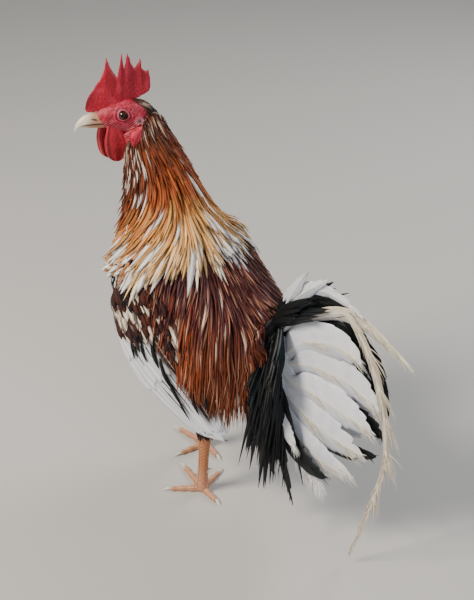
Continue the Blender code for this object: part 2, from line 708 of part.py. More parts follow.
def make_legs():
    """Thigh, shank, foot, claws and spur of each leg."""
    for name, (fx, fy) in FEET.items():
        ankle = MM * np.array([fx, fy, 9.0])
        hock = MM * np.array(HOCKS[name])
        knee = MM * np.array(KNEES[name])
        outer = np.array([0.0, -1.0, 0.0])

        share = np.linspace(0, 1, 6)[:, None]
        path = hock + (knee - hock) * share + GAP * np.array([0, 0, 1.0])
        _, across, ahead = leg_frame(path, outer)
        across[0], ahead[0] = outer, [1.0, 0.0, 0.0]
        sizes = MM * np.array([7.6, 9.5, 14, 18, 20, 20])
        rings = [ring(path[i], ahead[i], across[i], sizes[i] * 1.15, sizes[i] * 0.85, 14) for i in range(6)]
        thigh = mesh_object(f"thigh_{name}", tube(rings))
        combine(thigh, [trunk(TORSO_START, TORSO_END, TORSO_ROWS, GAP)], "DIFFERENCE")
        finish(thigh, "3A1C12", 0.7)

        foot_top = ankle + np.array([0.0, 0.0, 8.0]) * MM
        share = np.linspace(0, 1, 7)[:, None]
        path = foot_top + (hock - foot_top) * share
        _, across, ahead = leg_frame(path, outer)
        across[[0, -1]], ahead[[0, -1]] = outer, [1.0, 0.0, 0.0]
        radii = SHANK_RADIUS * np.array([1.05, 0.95, 0.9, 0.9, 0.95, 1.08, 1.0])
        rings = [ring(path[i], ahead[i], across[i], radii[i] * 1.1, radii[i] * 0.95, 14) for i in range(7)]
        shank = mesh_object(f"shank_{name}", tube(rings))
        finish(shank, "C98A5E", 0.55)

        rings = []
        for s, swell in ((0, 0.8), (0.3, 1.1), (0.7, 1.1), (1, 0.98)):
            at = MM * np.array([fx, fy, 0]) + np.array([0, 0, 1]) * s * (foot_top[2] - GAP)
            rings.append(ring(at, [1, 0, 0], [0, 1, 0], SHANK_RADIUS * swell * 1.1, SHANK_RADIUS * swell, 12))
        foot = mesh_object(f"foot_{name}", tube(rings))
        toes = []
        for toe, (angle, length) in TOES[name].items():
            way = np.array([math.cos(math.radians(angle)), math.sin(math.radians(angle)), 0.0])
            across = np.cross([0, 0, 1.0], way)
            start = MM * np.array([fx, fy, 0.0])
            reach = length * MM * (1 - CLAW_SHARE)
            rings = []
            for s in np.linspace(0, 1, 5):
                radius = TOE_RADIUS * (1.05 - 0.4 * s)
                rings.append(ring(start + way * reach * s + np.array([0, 0, radius * 0.82]), [0, 0, 1.0], across,
                                  radius, radius, 8, floor=0.0))
            toes.append(tube(rings))
            rings = []
            for s in np.linspace(0, 1, 5):
                radius = TOE_RADIUS * 0.56 * (1 - 0.85 * s ** 1.3)
                rise = (TOE_RADIUS * 0.62 + 1.2 * MM * math.sin(math.pi * s)) * (1 - s) + (radius + 0.1 * MM) * s
                at = start + way * (reach + GAP + (length * MM - reach - GAP) * s)
                rings.append(ring(at + np.array([0, 0, rise]), [0, 0, 1.0], across, radius, radius * 0.85, 6,
                                  floor=0.05 * MM))
            claw = mesh_object(f"claw_{toe}_{name}", tube(rings))
            finish(claw, "E3D5C4", 0.45)
        combine(foot, toes)
        finish(foot, "D19A72", 0.55)

        angle, height = SPURS[name]
        way = np.array([math.cos(math.radians(angle)), math.sin(math.radians(angle)), 0.0])
        base = foot_top + (hock - foot_top) * ((height * MM - foot_top[2]) / (hock[2] - foot_top[2]))
        across = np.cross([0, 0, 1.0], way)
        rings = []
        for s in np.linspace(0, 1, 5):
            at = base + way * (SHANK_RADIUS * 0.5 + SPUR_LENGTH * s)
            radius = 4.2 * MM * (1 - 0.55 * s)
            rings.append(ring(at, [0, 0, 1.0], across, radius, radius, 10))
        spur = mesh_object(f"spur_{name}", tube(rings))
        grown = tube([ring(path[i], ahead[i] * 0 + [1, 0, 0], [0, -1, 0], radii[i] * 1.1 + GAP,
                           radii[i] * 0.95 + GAP, 14) for i in range(7)])
        combine(spur, [grown], "DIFFERENCE")
        finish(spur, "E6E0D4", 0.5)


def centre_model():
    """Moves every node so that the origin lies on the floor under the middle of the whole bird."""
    low = np.full(3, np.inf)
    high = np.full(3, -np.inf)
    for body in bpy.context.scene.objects:
        corners = np.array([corner[:] for corner in body.bound_box])
        low = np.minimum(low, corners.min(0))
        high = np.maximum(high, corners.max(0))
    shift = -(low + high) / 2
    shift[2] = -low[2]
    for body in bpy.context.scene.objects:
        body.location = shift
    print("moved by", [round(float(v), 5) for v in shift])


def main():
    """Builds every node, then centres the bird."""
    for old in list(bpy.data.objects):
        bpy.data.objects.remove(old)
    make_neck()
    make_torso()
    make_head()
    make_eyes()
    make_comb()
    make_beak()
    make_wattles()
    make_wings()
    make_tail()
    make_legs()
    centre_model()


main()
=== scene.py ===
# %% [markdown]
# A white hackle game cock, life size, as a museum would show it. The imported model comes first: it says
# where the head, wings, feet and every tail feather are. The rest dresses that frame: bare skin, scales,
# and feathers made one by one and laid in rows. Hair particles would be faster, but a mesh of feathers
# keeps its shape in every program.

# %% Load the fixed frame
import math

import bpy
import numpy as np
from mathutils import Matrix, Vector


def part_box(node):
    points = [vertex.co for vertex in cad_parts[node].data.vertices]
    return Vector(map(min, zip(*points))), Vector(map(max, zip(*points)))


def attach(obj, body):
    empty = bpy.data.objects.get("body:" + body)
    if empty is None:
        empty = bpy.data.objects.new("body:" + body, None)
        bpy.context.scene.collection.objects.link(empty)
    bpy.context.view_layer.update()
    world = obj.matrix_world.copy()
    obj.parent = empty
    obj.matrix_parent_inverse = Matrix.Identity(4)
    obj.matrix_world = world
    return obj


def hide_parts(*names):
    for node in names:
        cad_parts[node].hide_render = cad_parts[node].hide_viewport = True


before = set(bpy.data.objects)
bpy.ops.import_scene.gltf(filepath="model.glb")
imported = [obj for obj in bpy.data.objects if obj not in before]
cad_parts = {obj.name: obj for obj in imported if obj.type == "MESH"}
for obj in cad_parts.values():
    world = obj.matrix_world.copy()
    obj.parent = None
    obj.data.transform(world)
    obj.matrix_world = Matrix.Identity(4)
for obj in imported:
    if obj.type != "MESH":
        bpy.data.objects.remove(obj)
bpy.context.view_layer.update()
MM = 0.001
rng = np.random.default_rng(23)

# %% [markdown]
# The bird is measured in its own frame: the origin lies between its feet, it faces -X and its left side
# is towards -Y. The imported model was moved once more. That move could be copied as three numbers, but the
# left eye is in both frames and gives it. The head has directions of its own, because it is turned to the
# left.

# %% The head's own directions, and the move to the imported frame
HEAD_AT = MM * np.array([-85, -12, 485])
HEAD_TURN = math.radians(229)
AHEAD = np.array([math.cos(HEAD_TURN), math.sin(HEAD_TURN), 0.0])
UP = np.array([0.0, 0.0, 1.0])
LEFT = np.cross(UP, AHEAD)
BIRD_LEFT = np.array([0.0, -1.0, 0.0])
# The eye's middle in the solids, and in the scene, a little deeper: mm ahead, up and to the side
CAD_EYE_AT = (9, 5, 12)
EYE_AT = (9, 5.6, 11.4)
EYE_RADIUS = 6.0


def head_point(forward, up, left):
    """HEAD_AT plus each number of millimetres times the head's own direction."""
    parts = np.broadcast_arrays(forward, up, left)
    return HEAD_AT + MM * sum(part[..., None] * way for part, way in zip(parts, (AHEAD, UP, LEFT)))


def head_numbers(points):
    """Millimetres ahead, up and to the left of HEAD_AT: head_point turned round."""
    return [(points - HEAD_AT) @ way / MM for way in (AHEAD, UP, LEFT)]


eye_low, eye_high = (np.array(corner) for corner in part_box("eye_left"))
MOVE = (eye_low + eye_high) / 2 - head_point(*CAD_EYE_AT)
print("move to the packed frame", np.round(MOVE, 4).tolist())

# %% [markdown]
# The camera stands about a metre and a half from the feet, behind the bird and to its left, and looks
# down by thirty degrees. It could be aimed by eye, but here it follows from the photograph's perspective,
# so that each piece can be compared.

# %% Camera
CAMERA_AT = np.array([0.696, -0.910, 0.921]) + MOVE
CAMERA_DOWN = math.radians(30)
CAMERA_ROUND = math.radians(35)
FOCAL_PIXELS = 1070
PICTURE_HEIGHT = 600

lens = bpy.data.cameras.new("camera")
lens.sensor_width = 36
lens.lens = lens.sensor_width * FOCAL_PIXELS / PICTURE_HEIGHT
camera = bpy.data.objects.new("camera", lens)
bpy.context.scene.collection.objects.link(camera)
bpy.context.scene.camera = camera
camera.location = CAMERA_AT
camera.rotation_euler = (math.pi / 2 - CAMERA_DOWN, 0, CAMERA_ROUND)
print("focal length", round(lens.lens, 1), "mm")

# %% [markdown]
# A material is a small graph: nodes hold patterns and colours, and links carry them to a shader. It could
# be put together by hand, but a script can be read and run again.

# %% Helpers for node materials
def hexed(code):
    """An sRGB hex colour as linear light: each channel /12.92 below 0.04045, else by the 2.4 power."""
    value = np.array([int(code[k:k + 2], 16) for k in (0, 2, 4)]) / 255
    return np.where(value <= 0.04045, value / 12.92, ((value + 0.055) / 1.055) ** 2.4)


def add(tree, kind, links=(), inputs=(), **settings):
    """One node: its settings, its input values by name or number, and its links (input, node, output)."""
    made = tree.nodes.new(kind)
    for name, value in settings.items():
        setattr(made, name, value)
    for name, value in dict(inputs).items():
        made.inputs[name].default_value = value
    for name, source, output in links:
        tree.links.new(source.outputs[output], made.inputs[name])
    return made


def blank(name, **inputs):
    """A new material with one Principled shader whose plain sockets are set by name."""
    made = bpy.data.materials.new(name)
    made.use_nodes = True
    shader = made.node_tree.nodes["Principled BSDF"]
    for socket, value in inputs.items():
        shader.inputs[socket.replace("_", " ")].default_value = value
    return made, made.node_tree, shader


print("the floor's grey as linear light", np.round(hexed("C4C2BE"), 3).tolist())

# %% [markdown]
# A museum lights a bird softly, so that even black feathers show their edges. A picture of a sky could do
# that, but three square lamps are plainer: the key lamp in front on the left, the fill lamp behind on the
# left, and the rim lamp on the far side. The floor is one flat pale sheet, so wide that its edge stays
# far off.

# %% Light and floor
# Name, place and aim in metres, width in metres, power in watts, colour
LAMPS = [
    ("key_light", (-0.9, -1.5, 1.9), (0, 0, 0.3), 0.7, 72, "FFF4E6"),
    ("fill_light", (1.9, -1.0, 1.1), (0, 0, 0.3), 1.6, 13, "EAF1FF"),
    ("rim_light", (0.6, 1.9, 1.7), (0, 0, 0.35), 1.0, 30, "FFFFFF"),
]
WORLD_STRENGTH = 0.40
FLOOR_HALF = 9


def lamp(name, place, aim, size, power, tone):
    """A square area light at a place in metres, turned to the aim."""
    made = bpy.data.lights.new(name, "AREA")
    made.size = size
    made.energy = power
    made.color = hexed(tone)
    held = bpy.data.objects.new(name, made)
    bpy.context.scene.collection.objects.link(held)
    held.location = place
    held.rotation_euler = (Vector(aim) - Vector(place)).to_track_quat("-Z", "Y").to_euler()


for settings in LAMPS:
    lamp(*settings)

world = bpy.data.worlds.new("studio")
world.use_nodes = True
background = world.node_tree.nodes["Background"]
background.inputs["Color"].default_value = (*hexed("E9ECF0"), 1)
background.inputs["Strength"].default_value = WORLD_STRENGTH
bpy.context.scene.world = world

floor_paint, _, _ = blank("matt studio paper", Base_Color=(*hexed("C4C2BE"), 1), Roughness=0.9)
floor_mesh = bpy.data.meshes.new("floor")
corners = [(x * FLOOR_HALF, y * FLOOR_HALF, 0) for x, y in ((-1, -1), (1, -1), (1, 1), (-1, 1))]
floor_mesh.from_pydata(corners, [], [(0, 1, 2, 3)])
floor_mesh.materials.append(floor_paint)
floor = bpy.data.objects.new("floor", floor_mesh)
bpy.context.scene.collection.objects.link(floor)
print("lamps", len(LAMPS), "and a floor", 2 * FLOOR_HALF, "m wide")

# %% [markdown]
# Most pieces are surfaces of two parameters, worked out as whole arrays. Each needs a curve through
# measured places, a soft step, a mix of colours and an uneven ripple. A noise texture could ripple a
# material, but here the mesh is bent too, so it is a sum of sines.

# %% Helpers for curves and colours
def unit(v):
    """Each vector divided by its own length."""
    return v / np.maximum(np.linalg.norm(v, axis=-1, keepdims=True), 1e-12)


def smooth(rows, t):
    """Catmull-Rom curve through the rows: a cubic whose slope at a row is half its neighbours' step."""
    rows = np.asarray(rows, float)
    last = len(rows) - 1
    t = np.clip(np.asarray(t, float), 0, last)
    i = np.minimum(t.astype(int), last - 1)
    f = (t - i).reshape(t.shape + (1,) * (rows.ndim - 1))
    before, here, there, after = (rows[np.clip(i + k, 0, last)] for k in (-1, 0, 1, 2))
    curve = 2 * here + (there - before) * f + (2 * before - 5 * here + 4 * there - after) * f ** 2
    return (curve + (3 * (here - there) + after - before) * f ** 3) / 2


def ease(value, low, high):
    """0 below low and 1 above high, with a smooth step 3s^2 - 2s^3 between."""
    share = np.clip((value - low) / (high - low), 0, 1)
    return share * share * (3 - 2 * share)


def mix(first, second, share):
    """Colours, or their hex codes, mixed channel by channel: first at share 0, second at share 1."""
    first, second = (hexed(tone) if isinstance(tone, str) else tone for tone in (first, second))
    return first + (second - first) * np.asarray(share)[..., None]


def ripple(x, y, z, seed=0.0):
    """Soft uneven waves from -1 to 1: three sines whose directions don't repeat together."""
    first = np.sin(1.00 * x + 0.63 * y - 0.37 * z + seed)
    second = np.sin(-0.71 * x + 1.27 * y + 0.55 * z + 1.7 * seed + 1.9 * first)
    third = np.sin(0.43 * x - 0.91 * y + 1.31 * z + 2.3 * seed + 1.3 * second)
    return (first + second + third) / 3


print("a soft step, a quarter of the way along:", ease(0.25, 0.0, 1.0))

# %% [markdown]
# A closed surface is a grid of points, along and round the piece, with a fan of triangles at each end.
# Blender's cylinders could be bent to it, but a grid gives maps and colours for nothing. Each mesh
# carries a colour for every point, the map OFBake, in which each feather has a small patch where its root
# stands on the skin, and for feathers a map of barbs in millimetres.

# %% Helpers for meshes
def wrapped(points):
    """Faces of a grid (along, round) closed round and closed by a fan at each end.

    Gives vertices, faces, and each face corner's place (along, round) from 0 to 1.
    """
    n, m = points.shape[:2]
    i, j = (a.ravel() for a in np.meshgrid(np.arange(n - 1), np.arange(m), indexing="ij"))
    k = (j + 1) % m
    quads = np.stack([i * m + j, i * m + k, (i + 1) * m + k, (i + 1) * m + j], 1)
    places = np.stack([np.stack([i, j], 1), np.stack([i, j + 1], 1),
                       np.stack([i + 1, j + 1], 1), np.stack([i + 1, j], 1)], 1).astype(float)
    j = np.arange(m)
    k = (j + 1) % m
    fans = np.concatenate([np.stack([np.full(m, n * m), k, j], 1),
                           np.stack([np.full(m, n * m + 1), (n - 1) * m + j, (n - 1) * m + k], 1)])
    first = np.stack([np.stack([0 * j, j + 0.5], 1), np.stack([0 * j, j + 1], 1), np.stack([0 * j, j], 1)], 1)
    last = np.stack([np.stack([0 * j + n - 1, j + 0.5], 1), np.stack([0 * j + n - 1, j], 1),
                     np.stack([0 * j + n - 1, j + 1], 1)], 1)
    vertices = np.concatenate([points.reshape(-1, 3), [points[0].mean(0), points[-1].mean(0)]])
    scale = np.array([n - 1, m], float)
    return vertices, [quads, fans], [places / scale, np.concatenate([first, last]) / scale]


def capped(tone):
    """A grid's colours as a list, with one more for the middle of the fan at each end."""
    return np.concatenate([tone.reshape(-1, 3), tone[0, :1], tone[-1, :1]])


def volume(vertices, faces):
    """Signed volume: the sum of the faces' fans seen from the origin, over six."""
    total = 0.0
    for block in faces:
        for k in range(1, block.shape[1] - 1):
            a, b, c = vertices[block[:, 0]], vertices[block[:, k]], vertices[block[:, k + 1]]
            total += np.einsum("ij,ij->", a, np.cross(b, c))
    return total / 6


def piece(name, vertices, faces, paint, bake=None, tint=None, barbs=None, replaced=()):
    """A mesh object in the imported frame, its faces turned outwards, its maps and colours set."""
    turned = volume(vertices - vertices.mean(0), faces) < 0
    blocks = [block[:, ::-1] if turned else block for block in faces]
    mesh = bpy.data.meshes.new(name)
    mesh.from_pydata((vertices + MOVE).tolist(), [], [row for block in blocks for row in block.tolist()])
    for label, maps in (("OFBake", bake), ("Barbs", barbs)):
        if maps is not None:
            layer = mesh.uv_layers.new(name=label)
            flat = np.concatenate([(one[:, ::-1] if turned else one).reshape(-1, 2) for one in maps])
            layer.data.foreach_set("uv", flat.astype(np.float32).ravel())
    if tint is not None:
        colour = mesh.color_attributes.new("Tint", "FLOAT_COLOR", "POINT")
        opaque = np.column_stack([tint, np.ones(len(tint))])
        colour.data.foreach_set("color", opaque.astype(np.float32).ravel())
    mesh.polygons.foreach_set("use_smooth", np.ones(len(mesh.polygons), bool))
    mesh.materials.append(paint)
    mesh.update()
    made = bpy.data.objects.new(name, mesh)
    bpy.context.scene.collection.objects.link(made)
    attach(made, "root")
    if replaced:
        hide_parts(*replaced)
    count = sum(len(block) * (block.shape[1] - 2) for block in faces)
    print(name, count, "triangles")
    return made


def solid(name, points, tone, paint, replaced):
    """A piece from a grid of points, closed round and by a fan at each end."""
    vertices, faces, places = wrapped(points)
    return piece(name, vertices, faces, paint, places, capped(tone), replaced=replaced)


def joined(parts):
    """Several (vertices, faces, maps, tint) as one: a part's face numbers start after the last one's."""
    vertices, faces, maps, tints, start = [], [], [], [], 0
    for some, blocks, places, tint in parts:
        vertices.append(some)
        faces += [block + start for block in blocks]
        maps += list(places)
        tints.append(tint)
        start += len(some)
    return np.concatenate(vertices), faces, maps, np.concatenate(tints)


print("faces of a closed grid, 3 along and 4 round:", sum(map(len, wrapped(np.zeros((3, 4, 3)))[1])))

# %% [markdown]
# Under its feathers a cock is a smooth shape like a pear with a long neck. It could be sculpted by hand,
# but each feather has to find its place on it. So the skin is one surface from the beak's root to the
# tail: each row of the table is an oval across the bird, and a turn goes round it from the middle of the
# back.

# %% The body as a surface of two parameters
# Ribs from the neck's start to the tail: back x, back z, front x, front z, half-width, shift
RIBS = MM * np.array([
    (-50, 475, -92, 441, 21, -8), (-26, 434, -95, 400, 30, -4), (0, 398, -102, 356, 43, -1),
    (26, 370, -115, 307, 58, 0), (50, 344, -117, 254, 69, 0), (69, 320, -103, 206, 72, 0),
    (84, 301, -68, 168, 71, 0), (95, 289, -20, 145, 65, 0), (103, 280, 30, 140, 55, 0),
    (108, 274, 68, 158, 43, 0), (112, 272, 96, 196, 33, 0), (115, 272, 107, 234, 25, 0),
])
# Head ovals from the beak's root back: ahead and up of the middle, lean, half-height, half-width
HEAD_OVALS = [
    (38.5, -1.5, -16, 7.4, 5.6), (34.5, -0.7, -12, 9.8, 7.4), (28, 0, -6, 13.2, 10.3), (16, 0.5, 0, 17.5, 13),
    (4, 1, 14, 21, 14.6), (-5, -3, 42, 23, 16), (-7, -13, 62, 24, 18),
]
NECK_ROW = len(HEAD_OVALS)
LAST_ROW = NECK_ROW + len(RIBS) - 1


def skin_rows():
    """Rows of middle, direction to the back, direction to the left, half-height and half-width."""
    lean = np.radians([row[2] for row in HEAD_OVALS])[:, None]
    ahead, up, _, tall, wide = np.array(HEAD_OVALS, float).T
    head = np.column_stack([head_point(ahead, up, 0 * up), UP * np.cos(lean) - AHEAD * np.sin(lean),
                            np.tile(LEFT, (len(ahead), 1)), tall * MM, wide * MM])
    back, front = RIBS[:, [0, 5, 1]], RIBS[:, [2, 5, 3]]
    half = np.linalg.norm(back - front, axis=1) / 2
    trunk = np.column_stack([(back + front) / 2, unit(back - front), np.tile(BIRD_LEFT, (len(RIBS), 1)),
                             half, RIBS[:, 4]])
    return np.concatenate([head, trunk])


SKIN_ROWS = skin_rows()


def body(row, turn, height=0.0):
    """A point on the bird: middle + cos(turn) (half-height + height) back + sin(turn) (...) left."""
    row, turn, height = np.broadcast_arrays(row, turn, height)
    oval = smooth(SKIN_ROWS, row)
    rise = (oval[..., 9] + height) * np.cos(turn)
    side = (oval[..., 10] + height) * np.sin(turn)
    return oval[..., :3] + oval[..., 3:6] * rise[..., None] + oval[..., 6:9] * side[..., None]


def face_edge(turn):
    """The row where bare skin ends: just behind the comb, behind the ear, and under the lobe."""
    off = np.abs(np.angle(np.exp(1j * np.asarray(turn))))
    return 4.15 + 1.9 * ease(off, 0.35, 1.2) + 0.75 * ease(off, 1.3, 2.2)


circle = body(np.full(60, 5.0), np.linspace(0, 2 * math.pi, 60))
print("round the face", round(np.linalg.norm(np.diff(circle, axis=0), axis=1).sum() / MM), "mm")

# %% [markdown]
# Feathers are painted by where they stand and by chance. The neck runs from rust through gold to cream,
# the saddle from maroon to orange, and the breast is black and white. A picture laid over the bird would
# smear across feathers, so each gets its own colour. The skin under them has the same markings, a little
# darker, so that a gap doesn't show as a hole.

# %% The markings
RUST, EMBER, GOLD, STRAW = hexed("5A2210"), hexed("A04C1E"), hexed("CC9450"), hexed("E0BC88")
CREAM, WHITE = hexed("EADFCB"), hexed("F0EFEC")
MAROON, ORANGE, TAN, PLUM = hexed("4E1C17"), hexed("8C401B"), hexed("C89070"), hexed("583438")
MAHOGANY, INK, SOOT = hexed("220C0A"), hexed("0B0D10"), hexed("1B1A1C")
SILVER, PEARL = hexed("E4E8EE"), hexed("F4F5F7")
FACE_RED, FACE_PINK, FACE_DEEP = hexed("A81632"), hexed("C8465E"), hexed("640A1A")


def chance(shape, spread=1.0):
    """Random numbers about 0, the same on every run."""
    return rng.normal(0, spread, shape)


def neck_colour(row, turn, luck, white):
    """Rust at the nape, gold half-way, cream at the cape's edge; luck shifts a whole feather."""
    at = row + 0.42 * luck - 0.3 * ease(np.abs(turn), 1.4, 2.6)
    tone = mix(RUST, EMBER, ease(at, 6.2, 8.2))
    tone = mix(tone, GOLD, ease(at, 8.6, 9.9))
    tone = mix(tone, STRAW, 0.75 * ease(at, 9.8, 10.9))
    tone = mix(tone, CREAM, 0.7 * ease(at, 10.8, 11.8))
    return mix(tone, mix("E2C6AE", WHITE * 0.93, ease(row, 7.0, 8.6)), white)


def torso_colour(row, turn, points, luck, white):
    """Black and white on the breast, maroon on the back, orange on the flank, black under the belly."""
    off = np.abs(turn)
    tone = mix(MAROON, ORANGE, ease(0.055 - points[..., 0] + 0.01 * luck, 0.0, 0.03))
    tone = mix(tone, SOOT, ease(off, 1.5, 2.0))
    tone = mix(tone, INK, ease(row, 13.0, 15.0) * ease(off, 1.2, 1.8))
    return mix(tone, PEARL, white)


for place in (6, 9, 11):
    print("the neck at row", place, np.round(neck_colour(place, 0.0, 0.0, 0.0), 2).tolist())

# %% [markdown]
# The face is bare red skin, waxy and a little wet, so light sinks in and comes out redder. Red plastic
# would look dead: this shader scatters light under the surface, and two patterns, small papillae and a
# coarser mottle, break up its shine and its colour.

# %% Skin material
skin_paint, tree, shader = blank("bare skin of a cock", Roughness=0.48, Subsurface_Weight=0.12,
                                 Subsurface_Scale=0.004, IOR=1.42)
shader.inputs["Subsurface Radius"].default_value = (1.0, 0.25, 0.18)
place = add(tree, "ShaderNodeTexCoord")
tint = add(tree, "ShaderNodeAttribute", attribute_name="Tint")
# Papillae are 0.8 mm apart, so 1250 to the metre
grain = add(tree, "ShaderNodeTexVoronoi", [("Vector", place, "Object")], {"Scale": 1250.0})
mottle = add(tree, "ShaderNodeTexNoise", [("Vector", place, "Object")], {"Scale": 420.0, "Detail": 5.0})
spots = add(tree, "ShaderNodeValToRGB", [("Fac", mottle, "Fac")])
spots.color_ramp.elements[0].color = (0.62, 0.55, 0.55, 1)
spots.color_ramp.elements[0].position = 0.32
spots.color_ramp.elements[1].color = (1.22, 1.2, 1.2, 1)
spots.color_ramp.elements[1].position = 0.68
tinted = add(tree, "ShaderNodeVectorMath", [(0, tint, "Color"), (1, spots, "Color")], operation="MULTIPLY")
tree.links.new(tinted.outputs["Vector"], shader.inputs["Base Color"])
rough = add(tree, "ShaderNodeBump", [("Height", grain, "Distance")], {"Strength": 0.35, "Distance": 0.0004})
rougher = add(tree, "ShaderNodeBump", [("Height", mottle, "Fac"), ("Normal", rough, "Normal")],
              {"Strength": 0.3, "Distance": 0.0006})
tree.links.new(rougher.outputs["Normal"], shader.inputs["Normal"])
print("material", skin_paint.name)

# %% [markdown]
# The face is wrinkled like a raisin, with swollen lids, a cup at the ear, and folds that run down to the
# wattles. A bump map could fake them, but they show in the lids' outline and in shadows. So they are real
# hills and creases: a height in millimetres, as a sum of rings, folds and ripples.

# %% Relief of the face
# The ear, in mm ahead of and above the head's middle
EAR_AT = (-10.0, -2.0)


def ring_of_eye(ahead, up):
    """Uneven distance from the eye's middle in mm: the lids are a little longer than high."""
    over, beside = up - EYE_AT[1], ahead - EYE_AT[0]
    return np.hypot(beside / 1.10, over / 0.97) * (1 + 0.045 * np.sin(3 * np.arctan2(over, beside) + 1.0))


def spot_of_ear(ahead, up):
    """Uneven distance from the ear's middle, 1 at its rim."""
    over, beside = up - EAR_AT[1], ahead - EAR_AT[0]
    uneven = 1 + 0.16 * np.sin(3 * np.arctan2(over, beside))
    uneven = uneven + 0.12 * ripple(ahead * 1.4, up * 1.4, 0 * up, 2.0)
    return np.hypot(beside / 5.0, over / 4.2) * uneven


def face_relief(points, row):
    """Height in mm: a ring of lid round each eye, a crease and a fold outside it, the ear's cup, wrinkles."""
    ahead, up, left = head_numbers(points)
    out = ease(np.abs(left), 6, 9) * ease(6.9 - row, 0.0, 0.8)
    eye, ear = ring_of_eye(ahead, up), spot_of_ear(ahead, up)
    lid = 1.6 * np.exp(-((eye - 5.4) / 1.1) ** 2) - 0.7 * np.exp(-((eye - 7.5) / 0.8) ** 2)
    lid += 0.6 * np.exp(-((eye - 9.2) / 1.0) ** 2) - 3.5 * ease(4.1 - eye, 0.0, 1.3)
    lid += 0.9 * np.exp(-((eye - 6.8) / 1.4) ** 2) * ease(up - EYE_AT[1], 1.0, 5.0)
    brow = 1.1 * np.exp(-((up - 14.0) / 2.0) ** 2 - ((ahead - 8.0) / 11.0) ** 2)
    cup = 0.7 * np.exp(-(ear - 1.0) ** 2 / 0.18) - 1.2 * np.exp(-(ear / 0.42) ** 2)
    bend = ripple(ahead / 3.1, up / 3.4, left / 4.0, 2.0)
    below = ease(2.0 - up, 0.0, 5.0)
    folds = 0.34 * np.sin(2.3 * (up + 0.62 * ahead) + 1.4 * bend) * ease(eye, 8.0, 11.0) * below
    ring = 0.14 * np.sin(4.2 * eye + 1.5 * bend) * ease(eye, 6.8, 8.2) * ease(14.0 - eye, 0.0, 3.0)
    pebbles = 0.26 * ripple(ahead * 2.1, up * 2.1, left * 2.1, 5.0)
    pebbles = pebbles + 0.22 * ripple(ahead * 1.1, up * 1.2, left, 8.0)
    cheek = 0.7 * ripple(ahead / 4.0, up / 4.0, left / 5.0, 1.0) * ease(eye, 9.0, 13.0)
    return (lid + brow + cup + folds + ring + pebbles + cheek) * out + 0.15 * (1 - out)


spot = head_point(np.array([15.0]), np.array([5.6]), np.array([14.0]))
print("the lid stands out by", np.round(face_relief(spot, np.array([2.0])), 2).tolist(), "mm")

# %% [markdown]
# The red isn't even: it is deep in the creases, pale between them, specked with pink over the eye and
# nearly white at the ear. It could be painted, but it has to follow the same creases as the relief, so it
# is worked out from the same distances.

# %% Colours of the face
def face_colour(points):
    """Crimson, deeper in the creases, specked with pink over the eye, nearly white at the ear."""
    ahead, up, left = head_numbers(points)
    eye, ear = ring_of_eye(ahead, up), spot_of_ear(ahead, up)
    bend = ripple(ahead / 3.1, up / 3.4, left / 4.0, 2.0)
    tone = mix(FACE_RED, FACE_PINK, 0.30 + 0.35 * bend)
    crease = np.sin(2.3 * (up + 0.62 * ahead) + 1.4 * bend)
    below = ease(2.0 - up, 0.0, 5.0) * ease(eye, 8.0, 11.0)
    tone = mix(tone, FACE_DEEP, 0.40 * ease(-crease, 0.3, 1.0) * below)
    tone = mix(tone, "DE9BA0", 0.55 * ease(crease, 0.75, 1.0) * below)
    specks = ease(ripple(ahead * 1.9, up * 2.1, left * 1.5, 3.0), 0.25, 0.75)
    over_eye = np.exp(-((up - 12.0) / 5.0) ** 2 - ((ahead + 2) / 11) ** 2)
    tone = mix(tone, "E0A2A6", 0.7 * specks * over_eye)
    tone = mix(tone, FACE_DEEP, 0.5 * ease(ripple(ahead * 1.2, up, left, 6.0), 0.4, 0.9))
    tone = mix(tone, "C97882", 0.6 * np.exp(-((eye - 5.5) / 0.9) ** 2))
    tone = mix(tone, "5A1018", 0.45 * np.exp(-((eye - 7.5) / 0.7) ** 2))
    tone = mix(tone, "2A0A0C", ease(4.6 - eye, 0.0, 0.6))
    tone = mix(tone, "E4CBCB", 0.8 * ease(1.2 - ear, 0.0, 0.6) * (0.65 + 0.35 * specks))
    return mix(tone, "45202A", 0.9 * np.exp(-(((ahead + 10.2) / 1.5) ** 2 + ((up + 2.6) / 0.9) ** 2)))


print("the lid's colour as linear light", np.round(face_colour(spot), 3).tolist())

# %% [markdown]
# The skin is one closed surface for head, neck and trunk, a little inside the feathers. An even grid
# would waste points, so it is fine over the face, where wrinkles show, and coarse under the feathers,
# where only its colour and its map matter.

# %% The skin's grid
SKIN_ALONG_HEAD = 170
SKIN_ALONG_BODY = 90
SKIN_ROUND = 208
BAKE_LOW, BAKE_WIDE, BAKE_HIGH = 0.02, 0.96, 0.98
rows = np.concatenate([np.linspace(0.0, 6.8, SKIN_ALONG_HEAD, endpoint=False),
                       np.linspace(6.8, LAST_ROW - 0.02, SKIN_ALONG_BODY)])
turns = np.linspace(0, 2 * math.pi, SKIN_ROUND, endpoint=False)
row, turn = np.meshgrid(rows, turns, indexing="ij")
flat = body(row, turn)
hills = face_relief(flat, row) * ease(6.9 - row, 0, 0.5) - 0.6 * ease(row, 6.6, 7.4)
points = body(row, turn, MM * hills)
signed = np.angle(np.exp(1j * turn))
under = np.where(row[..., None] < 9.9, neck_colour(row, signed, 0 * row, 0 * row),
                 torso_colour(row, signed, flat, 0 * row, 0 * row))
bare = ease(face_edge(signed) + 0.1 - row, 0.0, 0.25)
colour = mix(mix(under * 0.45, hexed("4A1E12"), ease(7.2 - row, 0, 0.5)), face_colour(flat), bare)
vertices, faces, places = wrapped(points)
colour = capped(colour)


